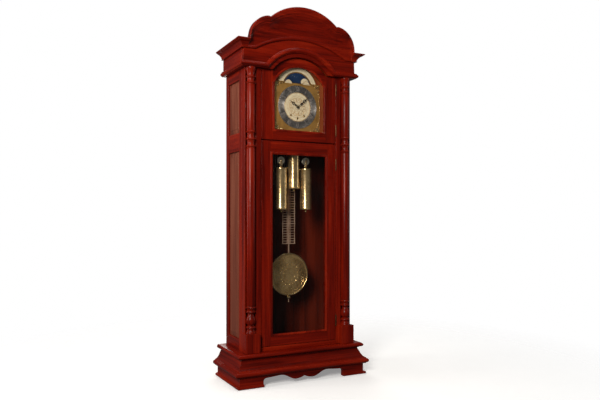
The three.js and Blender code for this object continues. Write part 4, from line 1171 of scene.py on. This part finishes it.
def build_dial_plate(dial):
    spring = rise_at(dial, dial.shoulder, DIAL_ARCH)
    outline = [(-dial.half, dial.bottom), (dial.half, dial.bottom), (dial.half, dial.shoulder)]
    outline += arc((0, dial.moon_z), DIAL_ARCH, spring, 180 - spring, 48)
    outline += [(-dial.half, dial.shoulder)]
    holes = [moon_window(dial.moon_z, dial.sill), arc(dial.centre, 7, 0, 354, 24)]
    holes += [arc(hole, 4, 0, 345, 16) for hole in dial.winders]
    filled(
        "dial_plate_fine", [outline, *holes], dial.front, dial.back, dial_brass, ["dial_plate"],
    )


def build_dial_trim(dial):
    """Corner scrolls, edge beads, and a collar round each winding hole."""
    trim = Shell()
    for cz, up in ((dial.bottom, 1), (dial.shoulder, -1)):
        for cx, inward in ((-dial.half, 1), (dial.half, -1)):
            spandrel(trim, (cx, cz), (inward, up), dial.front - 0.3)
    x, low, high = dial.half - 2, dial.bottom + 2, dial.shoulder - 2
    edge = [(-x, low), (x, low), (x, high), (-x, high)]
    trim.wire(edge, dial.front, 1.4, closed=True)
    for radius in (131.5, 97):
        rise = rise_at(dial, dial.sill + 4, radius)
        rim = arc((0, dial.moon_z), radius, rise, 180 - rise, 60)
        trim.wire(rim, dial.front, 1.3)
    collar = [(4.2, 0), (4.2, -1.2), (5.5, -1.8), (7, -1.0), (7.2, 0)]
    for x, z in dial.winders:
        trim.turned(collar, Y, (x, dial.front, z), 32, True)
    piece("dial_trim", trim, polished_brass, [], "dial_brass", body="case", smooth=60)


def build_dial_centre(dial):
    """The cream field inside the chapter ring, with engraved scrolls and circles."""
    holes = [arc(dial.centre, 7.5, 0, 350, 36)]
    holes += [arc(hole, 7.4, 0, 348, 30) for hole in dial.winders]
    filled(
        "dial_centre", [arc(dial.centre, CENTRE_FIELD, 0, 357, 120), *holes],
        dial.front - 0.9, dial.front - 0.02, cream_paint, [], "case",
    )
    scrolls = Shell()
    for k in range(16):
        outward, sideways = facing(22.5 * k)
        sideways *= 1 if k % 2 else -1
        path = []
        for u, v in spiral((46, 3), math.radians(200), 1.4, 13, 2):
            at = outward * u + sideways * v
            path.append((dial.centre[0] + at.x, dial.front - 1.0, dial.centre[1] + at.y))
        scrolls.tube(path, lambda t: 1.1 * (1 - t) + 0.4, 8, 0.5)
    for radius in (17, 29, 66, 84):
        circle = arc(dial.centre, radius, 0, 357, 119)
        scrolls.wire(circle, dial.front - 1.0, 0.7, 8, 0.5, closed=True)
    piece("dial_centre_scrolls", scrolls, dial_brass, [], "dial_brass", body="case", smooth=60)


def build_arch_band(dial):
    inner, outer = ARCH_BAND
    low_in, low_out = (rise_at(dial, dial.sill + 6, radius) for radius in ARCH_BAND)
    outline = arc((0, dial.moon_z), outer, low_out, 180 - low_out, 60)
    outline += arc((0, dial.moon_z), inner, 180 - low_in, low_in, 60)
    arch_band = Shell().faced(outline, dial.front - 0.5, dial.front - 0.02)
    piece("dial_arch_band", arch_band, cream_paint, [], "dial_brass", body="case", smooth=40)


def build_chapter_ring(dial):
    """A shallow dish with rolled edges."""
    profile = [
        (88.2, 0.02), (88.2, 1.3), (89.2, 1.48), (128.8, 1.48), (129.8, 1.3), (129.8, 0.02),
        (127.5, 0.02), (127, 0.35), (91, 0.35), (90.5, 0.02),
    ]
    at = (dial.centre[0], dial.ring, dial.centre[1])
    ring = Shell().turned(profile, Y, at, 128, True)
    finer("chapter_ring", ring, silver, "chapter_ring", smooth=40)


def build_dial_marks(dial):
    """Numerals, minute strokes between two fine rings, and the moon's day strokes."""
    marks = Shell()
    front, back = dial.ring + 0.08, dial.ring + 0.4
    for hour, text in enumerate(NUMERALS):
        add_numeral(marks, text, hour * 30, dial.centre, dial.ring + 0.3)
    for minute in range(60):
        wide, deep = (0.45, 3.2) if minute % 5 else (0.9, 4.6)
        inner = MINUTE_TRACK - deep
        corners = ((inner, -wide), (inner, wide), (MINUTE_TRACK, wide), (MINUTE_TRACK, -wide))
        stroke = [on_dial(dial.centre, minute * 6, *corner) for corner in corners]
        marks.faced(stroke, front, back)
    band(marks, dial.centre, MINUTE_TRACK, MINUTE_TRACK + 0.8, front, back)
    band(marks, dial.centre, 92.2, 93, front, back)
    rise = rise_at(dial, dial.sill + 6, ARCH_BAND[1])
    days = 30
    for day in range(days):
        outward, sideways = facing(180 - rise - (180 - 2 * rise) * (day + 0.5) / days)
        across = sideways * 0.5
        deep = 9 if day % 5 == 2 else 5
        foot, tip = (outward * r + Vector((0, dial.moon_z)) for r in (118 - deep, 118))
        stroke = [foot - across, foot + across, tip + across, tip - across]
        marks.faced([tuple(p) for p in stroke], dial.front - 0.8, dial.front - 0.45)
    piece("dial_marks", marks, numeral_paint, [], "chapter_ring", body="case", smooth=30)


def build_horizons(dial):
    """The two rounded horizons that hide the moons, with three meridians on each."""
    humps = Shell()
    lines = Shell()
    half = MOON_HUMP - 2.5
    for side in (-1, 1):
        dome = horizon(side, half, dial.sill - 3, 28, 0.6, 20)
        humps.faced(dome, dial.front - 1.0, dial.front - 0.02)
        for k in (-0.5, 0, 0.5):
            meridian = [
                (side * MOON_HUMP_X + k * half * (1 - t * 0.85), dial.front - 1.0,
                 dial.sill - 1 + 17 * t)
                for t in (0, 0.3, 0.6, 0.95)
            ]
            lines.tube(meridian, 0.4, 6)
    piece("dial_horizons", humps, cream_paint, [], "dial_brass", body="case", bevel=0.4)
    piece("dial_horizon_lines", lines, dial_brass, [], "dial_brass", body="case")


def add_star(shell, x, z, size, front):
    points = []
    for k in range(10):
        r = size if k % 2 == 0 else size * 0.4
        points.append((x + r * math.sin(k * math.pi / 5), z + r * math.cos(k * math.pi / 5)))
    shell.faced(points, front - 0.15, front + 0.1)


def build_moon_disc(dial):
    """A night sky with two plain moons, half a turn apart, and stars between them."""
    front = box_mm("moon_disc")[0].y
    sky = Shell()
    disc = [(3.2, 0), (99.6, 0), (100, 0.2), (100, 1), (99.6, 1.2), (3.2, 1.2)]
    sky.turned(disc, Y, (0, front, dial.moon_z), 96, True)
    sky.current = 1
    dome = [(POLE, -0.24), (10, -0.22), (20, -0.16), (26, -0.05), (26.4, 0.2), (POLE, 0.2)]
    for side in (1, -1):
        angle = math.radians(MOON_ANGLE + (0 if side > 0 else 180))
        x, z = MOON_ORBIT * math.cos(angle), dial.moon_z + MOON_ORBIT * math.sin(angle)
        sky.turned(dome, Y, (x, front, z), 48)
    chance = random.Random(7)
    for _ in range(STARS):
        radius, angle = chance.uniform(14, 94), chance.uniform(0, 2 * math.pi)
        x, z = radius * math.cos(angle), radius * math.sin(angle)
        moon_x, moon_z = MOON_PLACE
        if min(math.hypot(x - s * moon_x, z - s * moon_z) for s in (-1, 1)) < STARLESS:
            continue
        add_star(sky, x, z + dial.moon_z, chance.uniform(0.8, 2.2), front)
    finer("moon_disc", sky, [night_paint, cream_paint], "moon_disc", smooth=40)


def build_dial():
    dial = dial_places()
    build_dial_plate(dial)
    build_dial_trim(dial)
    build_dial_centre(dial)
    build_arch_band(dial)
    build_chapter_ring(dial)
    build_dial_marks(dial)
    build_horizons(dial)
    build_moon_disc(dial)
    refined("dial_surround", reveal_wood, 0.8)
    for node in HANDS:
        build_hand(node, dial.centre)
    build_hand_nut(dial.centre)


def blade(length, boss, swell, wide):
    """Half of a hand's outline, from its boss to its tip."""
    collar, neck, shoulder = wide * 0.7, 1.5, 1.7
    runs = (
        ((1.6, boss), (1.6, length * 0.26), (collar, length * 0.2), (collar, length * 0.3), 6),
        ((collar, length * 0.3), (collar, length * 0.38), (neck, length * 0.34),
         (neck, length * 0.42), 6),
        ((neck, length * 0.42), (swell, length * 0.44), (swell, length * 0.6),
         (shoulder, length * 0.68), 12),
    )
    half = [(1.6, boss)]
    for run in runs:
        half += curve(*run)[1:]
    half += [(3.4, length * 0.72), (1.6, length * 0.76), (0.3, length)]
    return half


def build_hand(node, centre):
    """A pierced blade on a turned boss; the hour hand's boss is a pipe."""
    length, boss, swell, setback, angle = HANDS[node]
    low, high = box_mm(node)
    y = low.y + setback
    half = blade(length, boss - 0.8, swell, 8)
    outline = half + [(-x, r) for x, r in half[::-1]]
    eye_r, eye_at = swell * 0.36, length * 0.54
    eye = [
        (eye_r * math.cos(math.radians(d)), eye_at + 1.5 * eye_r * math.sin(math.radians(d)))
        for d in range(0, 360, 20)
    ]
    shapes = [[on_dial(centre, angle, r, x) for x, r in shape] for shape in (outline, eye)]
    filled(f"{node}_fine", shapes, y, y + 1.4, hand_paint, [node], bevel=0.3)
    piped = node == "hour_hand"
    bore, pipe = (3.7, 6) if piped else (POLE, 3)
    profile = [
        (bore, y), (boss - 3, y), (boss, y + 0.5), (boss, y + 1.1), (pipe, y + 1.6),
        (pipe, high.y), (bore, high.y),
    ]
    turned = Shell().turned(profile, Y, (centre[0], 0, centre[1]), 40, closed=piped)
    piece(f"{node}_boss", turned, hand_paint, [], "hands", body=BODY_OF[node], smooth=40)


def build_hand_nut(centre):
    front = box_mm("minute_hand")[0].y
    profile = [(POLE, 0.05), (2.4, 0.15), (3.6, 0.6), (3.8, 1.2), (3, 1.6), (POLE, 1.6)]
    nut = Shell().turned(profile, Y, (centre[0], front, centre[1]), 32)
    piece("hand_nut", nut, polished_brass, [], "hands", body="minute_hand", smooth=50)


# ---- Movement -----------------------------------------------------------------------

def build_drum(name):
    """A grooved winding drum with its flange and great wheel, on one arbor."""
    node = f"winding_drum_{name}"
    low, high = box_mm(node)
    axis = ((low.x + high.x) / 2, 0, (low.z + high.z) / 2)
    wheel = (high.x - low.x) / 2
    cable_y = centre_mm(f"pulley_{name}").y
    profile = [
        (POLE, low.y), (3.6, low.y + 0.3), (4, low.y + 1), (4, cable_y - 12),
        (24, cable_y - 12), (24, cable_y - 10.4),
    ]
    turns = 9
    for k in range(turns):
        y = cable_y - 9.4 + k * 17.0 / turns
        profile += [(18.4, y), (17.8, y + 0.9)]
    profile += [
        (18.4, cable_y + 8), (wheel, cable_y + 8), (wheel, cable_y + 11), (4, cable_y + 11),
        (4, high.y - 1), (3.6, high.y - 0.3), (POLE, high.y),
    ]
    drum = Shell().turned(profile, Y, axis, 48)
    finer(node, drum, movement_brass, "movement_brass", smooth=40)


def build_chimes():
    """Rods of growing length, each in a ferrule under the block."""
    low, high = box_mm("chime_rods")
    rods = Shell()
    top = high.z - 30
    rods.block((-60, low.y, top), (60, high.y, high.z))
    rod_y = high.y + GAP - 40
    ferrule = [(POLE, top - 7), (3, top - 6), (3.4, top), (POLE, top)]
    for i in range(CHIME_COUNT):
        at = (CHIME_PITCH * (i - (CHIME_COUNT - 1) / 2), rod_y, 0)
        end = top - CHIME_SHORTEST - CHIME_STEP * i
        rod = [(POLE, end), (1.4, end + 0.5), (1.6, end + 2), (1.6, top + 1), (POLE, top + 1)]
        rods.turned(rod, Z, at, 16)
        rods.turned(ferrule, Z, at, 16)
    finer("chime_rods", rods, drawn_steel, "steel", bevel=0.5, smooth=40)


def build_movement():
    refined("seat_board", inner_across, 1.2)
    for node in ("movement_front_plate", "movement_back_plate", "escape_wheel"):
        refined(node, movement_brass, 0.3)
    refined("anchor", drawn_steel, 0.3)
    for name, _ in THREE_WAYS:
        build_drum(name)
    build_chimes()


# ---- Pendulum -----------------------------------------------------------------------

def build_pendulum_rod(bob):
    """A flat rod through a gridiron, with the bob's thread at its foot."""
    low, high = box_mm("pendulum_rod")
    y = (low.y + high.y) / 2
    half = high.x
    tail_top = bob.z - ROD_TAIL
    grid_low, grid_high = (bob.z + up for up in GRIDIRON)
    rod = Shell()
    rod.block((-3.6, y - 2.9, tail_top - 1), (3.6, y + 2.9, high.z - 2))
    thread = [(POLE, low.z)]
    for k in range(THREAD_TURNS):
        z = low.z + 0.4 + k * THREAD_PITCH
        thread += [(2.4, z), (2.95, z + 0.5 * THREAD_PITCH)]
    thread += [(2.6, tail_top), (POLE, tail_top)]
    rod.turned(thread, Z, (0, y, 0), 20)
    bar = [(POLE, grid_low), (2.6, grid_low + 0.2), (2.6, grid_high - 0.2), (POLE, grid_high)]
    for step in (-1, -0.24, 0.24, 1):
        rod.turned(bar, Z, (step * (half - 3.2), y, 0), 20)
    for k in range(GRIDIRON_RUNGS + 1):
        z = grid_low + 3 + (grid_high - grid_low - 6) * k / GRIDIRON_RUNGS
        heavy = k % 8 == 0
        tall, deep = (6.0, 4.4) if heavy else (4.4, 3.6)
        spans = [(-half, half)] if heavy else [(-half + 0.6, -6.5), (6.5, half - 0.6)]
        for x0, x1 in spans:
            rod.block((x0, y - deep, z - tall / 2), (x1, y + deep, z + tall / 2))
    rod.block((-9, y - 3, high.z - 12), (9, y + 3, high.z))
    finer("pendulum_rod", rod, rod_brass, "polished_brass", bevel=0.5)


def lens_depth(t):
    """How far the bob's face falls back at a fraction of its radius."""
    return 9.5 * t ** 2.2


def bob_relief(t, turn):
    """Depth of the bob's face: a boss, a ring, petals with veins, beads, and a raised rim."""
    height = 0.0
    if t < 0.24:
        height = 1.1 * math.cos(t / 0.24 * math.pi / 2) * (0.7 + 0.3 * math.cos(8 * turn))
    elif t < 0.3:
        height = 1.0 * math.sin((t - 0.24) / 0.06 * math.pi)
    elif t < 0.77:
        u = (t - 0.3) / 0.47
        petal = abs(math.cos(6 * turn)) ** 0.6 * math.sin(math.pi * u)
        vein = 0.35 * math.cos(24 * turn + 5 * u)
        height = 2.0 * petal + vein * math.sin(math.pi * u)
    elif t < 0.82:
        height = 0.9 * abs(math.sin(36 * turn)) * math.sin((t - 0.77) / 0.05 * math.pi)
    elif t > 0.91:
        height = 4.0 * math.sin(min(1.0, (t - 0.91) / 0.075) * math.pi / 2)
    return min(lens_depth(t) + 2.2, 16.5) - height


def build_bob_lens(bob, radius, face, back):
    around = 144
    fractions = [
        0.02, 0.06, 0.1, 0.15, 0.2, 0.24, 0.27, *(0.3 + 0.04 * k for k in range(12)), 0.77, 0.8,
        0.82, 0.84, 0.86, 0.875, 0.89, 0.91, 0.93, 0.945, 0.96, 0.98, 0.995,
    ]
    behind = (
        (radius, bob.y - 2), (radius, bob.y + 2), (radius - 4, bob.y + 6),
        (radius * 0.6, bob.y + 9), (2, back),
    )
    turns = [2 * math.pi * k / around for k in range(around)]

    def ring(r, depths):
        return [
            (r * math.cos(turn), depth, bob.z + r * math.sin(turn))
            for turn, depth in zip(turns, depths)
        ]

    rings = [
        ring(t * radius, [face + max(0.0, bob_relief(t, turn)) for turn in turns])
        for t in fractions
    ]
    rings += [ring(r, [depth] * around) for r, depth in behind]
    lens = Shell().grid(rings)
    finer("pendulum_bob", lens, bob_brass, "polished_brass", smooth=50)


def build_bob_scrolls(bob, radius, face):
    """Twelve pairs of scrolls, three circles and a rim, laid on the lens."""
    scrolls = Shell()
    for k in range(BOB_SCROLLS):
        outward, sideways = facing(360 / BOB_SCROLLS * k)
        for hand in (-1, 1):
            path = []
            start = hand * math.radians(150)
            for u, v in spiral((0.5 * radius, hand * 9), start, hand * 1.3, 10, 2):
                at = outward * u + sideways * v
                depth = face + 1.6 + lens_depth(at.length / radius)
                path.append((at.x, depth, bob.z + at.y))
            scrolls.tube(path, lambda t: 1.8 * (1 - t) + 0.7, 8, 0.9)
    for t in (0.3, 0.68, 0.8):
        circle = arc((0, bob.z), t * radius, 0, 355, 71)
        scrolls.wire(circle, face + 1.9 + lens_depth(t), 1.2, closed=True)
    body = BODY_OF["pendulum_bob"]
    piece("pendulum_bob_scrolls", scrolls, bob_brass, [], "polished_brass", body=body, smooth=70)
    circle = arc((0, bob.z), radius - 5, 0, 357.5, 143)
    rim = Shell().wire(circle, face + 7.2, 4.4, 12, 0.8, closed=True)
    piece("pendulum_bob_rim", rim, polished_brass, [], "polished_brass", body=body, smooth=70)


def build_rating_nut(y):
    low, high = box_mm("rating_nut")
    tall = high.z - low.z
    around = 60
    profile = [(3.4, 0), (10.5, 0), (13, 3), (13, tall - 3), (9, tall), (3.4, tall)]
    rings = []
    for r, z in profile:
        ring = []
        for k in range(around):
            turn = 2 * math.pi * k / around
            knurl = 0.5 if r > 12 and k % 2 else 0.0
            reach = r - knurl
            ring.append((reach * math.cos(turn), y + reach * math.sin(turn), low.z + z))
        rings.append(ring)
    nut = Shell().grid(rings, close_path=True)
    finer("rating_nut", nut, polished_brass, "polished_brass", smooth=30)


def build_pendulum():
    rod_low, rod_high = box_mm("pendulum_rod")
    low, high = box_mm("pendulum_bob")
    bob = Vector((0, (rod_low.y + rod_high.y) / 2, (low.z + high.z) / 2))
    build_pendulum_rod(bob)
    build_bob_lens(bob, high.x, low.y, high.y)
    build_bob_scrolls(bob, high.x, low.y)
    build_rating_nut(bob.y)


# ---- Weights ------------------------------------------------------------------------

def build_weight(name):
    """A capped shell on a finial, with the stirrup that carries its pulley."""
    low, high = box_mm(f"weight_{name}")
    pulley = centre_mm(f"pulley_{name}")
    x, y, z = (low.x + high.x) / 2, (low.y + high.y) / 2, low.z + 16
    r, length = WEIGHT_RADIUS, WEIGHT_LENGTH
    rise = pulley.z - z
    finial = [
        (POLE, -16), (3, -15.4), (5, -13.5), (5.6, -10), (4.6, -7), (6, -4), (4, -1.5), (10, -1),
        (12, 0),
    ]
    cap = [(r - 1, 0.2), (r + 1, 1.2), (r + 1.5, 3), (r + 1.4, 7), (r + 0.4, 8.2), (r, 9.5)]
    neck = [
        (14, length + 0.4), (9, length + 2), (6.5, length + 6), (5.2, length + 12),
        (3, length + 14), (POLE, length + 14),
    ]
    top_cap = [(radius, length - up) for radius, up in cap[::-1]]
    body = Shell().turned([*finial, *cap, *top_cap, *neck], Z, (x, y, z), 96)
    strap = soften(
        [(-5, length + 9), (5, length + 9), (5, rise + 5), (-5, rise + 5)], 3.5, steps=4
    )
    for side in (-1, 1):
        inner, outer = sorted((side * 6, side * 8))
        body.faced([(x + u, z + v) for u, v in strap], y + inner, y + outer)
    body.block((x - 5, y - 8, z + length + 8), (x + 5, y + 8, z + length + 13.5))
    axle = [(POLE, -8.9), (2.2, -8.9), (2.5, -8.4), (2.5, 8.4), (2.2, 8.9), (POLE, 8.9)]
    body.turned(axle, Y, (x, y, z + rise), 24)
    finer(f"weight_{name}", body, weight_brass, "polished_brass")
    build_pulley(name, pulley)
    build_cable(name, x, y, pulley.z)


def build_pulley(name, at):
    """A wheel with a hub, a thin web and a round groove in its rim."""
    near = [
        (3.1, -4), (6, -4), (7, -3.2), (16, -3.0), (18, -3.8), (23, -3.8), (22.8, -2.8),
        (20.2, -1.4), (18.95, -0.6),
    ]
    far = [(r, -y) for r, y in near[::-1]]
    wheel = Shell().turned([*near, (18.9, 0), *far], Y, at, 64, closed=True)
    finer(f"pulley_{name}", wheel, pulley_metal, "polished_brass", smooth=40)


def build_cable(name, x, y, pulley_z):
    """A laid cable: down from the drum, round its pulley and up to the seat board."""
    top = box_mm(f"cable_{name}")[1].z
    r = SHEAVE_RADIUS
    seat = box_mm("seat_board")[0].z - GAP
    path = [(x - r, y, top - (top - pulley_z) * k / 40) for k in range(41)]
    path += [(px, y, pz) for px, pz in arc((x, pulley_z), r, 180, 360, 28)[1:]]
    path += [(x + r, y, pulley_z + (seat - pulley_z) * k / 30) for k in range(1, 31)]
    cable = Shell().tube(path, 0.78, 8)
    obj = finer(f"cable_{name}", cable, cable_steel, "steel", smooth=60, body=BLENDED)
    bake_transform(obj)


def build_weights():
    for name, _ in THREE_WAYS:
        build_weight(name)


# ---- Studio and camera, in metres ---------------------------------------------------

FLOOR_RADIUS = 2.6
FLOOR_DROP = 0.0015  # keeps the floor's face off the faces that stand on it
LIGHT_TONE = (1, 0.965, 0.91)
LIGHTS = {  # place, the point it is aimed at, width and height, watts
    "key": ((-2.7, -2.9, 2.5), (-0.1, 0, 1.5), (0.8, 1.8), 145),
    "fill": ((3.4, -1.5, 1.9), (0, 0, 1.2), (0.6, 2.4), 12),
    "side": ((-3.4, 0.9, 1.9), (0, 0, 1.1), (1.0, 2.4), 36),
    "top": ((0, -0.2, 4.4), (0, 0, 1.2), (2.0, 2.0), 50),
    "back": ((1.2, 3.4, 2.2), (0, 0, 1.1), (2.0, 2.0), 60),
}
CAMERA_AT = (-1.6323, -3.3337, 0.9611)
CAMERA_TURN = -26.9  # degrees about Z, from looking along +Y
CAMERA_LENS = 36.19
CAMERA_SHIFT = 0.03


def area_light(name, at, aim, size, watts):
    data = bpy.data.lights.new(name, "AREA")
    data.shape = "RECTANGLE"
    data.size, data.size_y = size
    data.energy = watts
    data.color = LIGHT_TONE
    obj = bpy.data.objects.new(name, data)
    obj.location = at
    obj.rotation_euler = (Vector(aim) - Vector(at)).to_track_quat("-Z", "Y").to_euler()
    bpy.context.scene.collection.objects.link(obj)


def build_floor():
    """A pale disc that holds shadows but throws no light back on to the lacquer."""
    floor = bpy.data.meshes.new("studio_floor")
    made = bmesh.new()
    bmesh.ops.create_circle(made, cap_ends=True, segments=96, radius=FLOOR_RADIUS)
    bmesh.ops.translate(made, verts=made.verts, vec=(0, 0, -FLOOR_DROP))
    made.to_mesh(floor)
    made.free()
    floor.materials.append(floor_material(FLOOR_RADIUS))
    ground = bpy.data.objects.new("studio_floor", floor)
    bpy.context.scene.collection.objects.link(ground)
    ground.visible_glossy = False
    ground.visible_diffuse = False


def build_world():
    """White to the camera, and a dim warm light to everything else."""
    world = bpy.data.worlds.new("studio")
    world.use_nodes = True
    bpy.context.scene.world = world
    tree = world.node_tree
    tree.nodes.clear()
    mix = tree.nodes.new("ShaderNodeMixShader")
    ray = tree.nodes.new("ShaderNodeLightPath").outputs["Is Camera Ray"]
    tree.links.new(ray, mix.inputs[0])
    for socket, tone, strength in ((1, (1, 0.98, 0.96, 1), 0.1), (2, (1, 1, 1, 1), 1.0)):
        background = tree.nodes.new("ShaderNodeBackground")
        background.inputs["Color"].default_value = tone
        background.inputs["Strength"].default_value = strength
        tree.links.new(background.outputs[0], mix.inputs[socket])
    output = tree.nodes.new("ShaderNodeOutputWorld")
    tree.links.new(mix.outputs[0], output.inputs[0])


def build_studio():
    build_floor()
    for name, settings in LIGHTS.items():
        area_light(name, *settings)
    build_world()
    bpy.context.scene.view_settings.view_transform = "Standard"


def build_camera():
    data = bpy.data.cameras.new("camera")
    data.sensor_width = 36
    data.lens = CAMERA_LENS
    data.shift_y = CAMERA_SHIFT
    camera = bpy.data.objects.new("camera", data)
    camera.location = CAMERA_AT
    camera.rotation_euler = (math.radians(90), 0, math.radians(CAMERA_TURN))
    bpy.context.scene.collection.objects.link(camera)
    bpy.context.scene.camera = camera


build_camera()
build_base()
build_case()
build_hood()
build_doors()
build_dial()
build_movement()
build_pendulum()
build_weights()
build_studio()
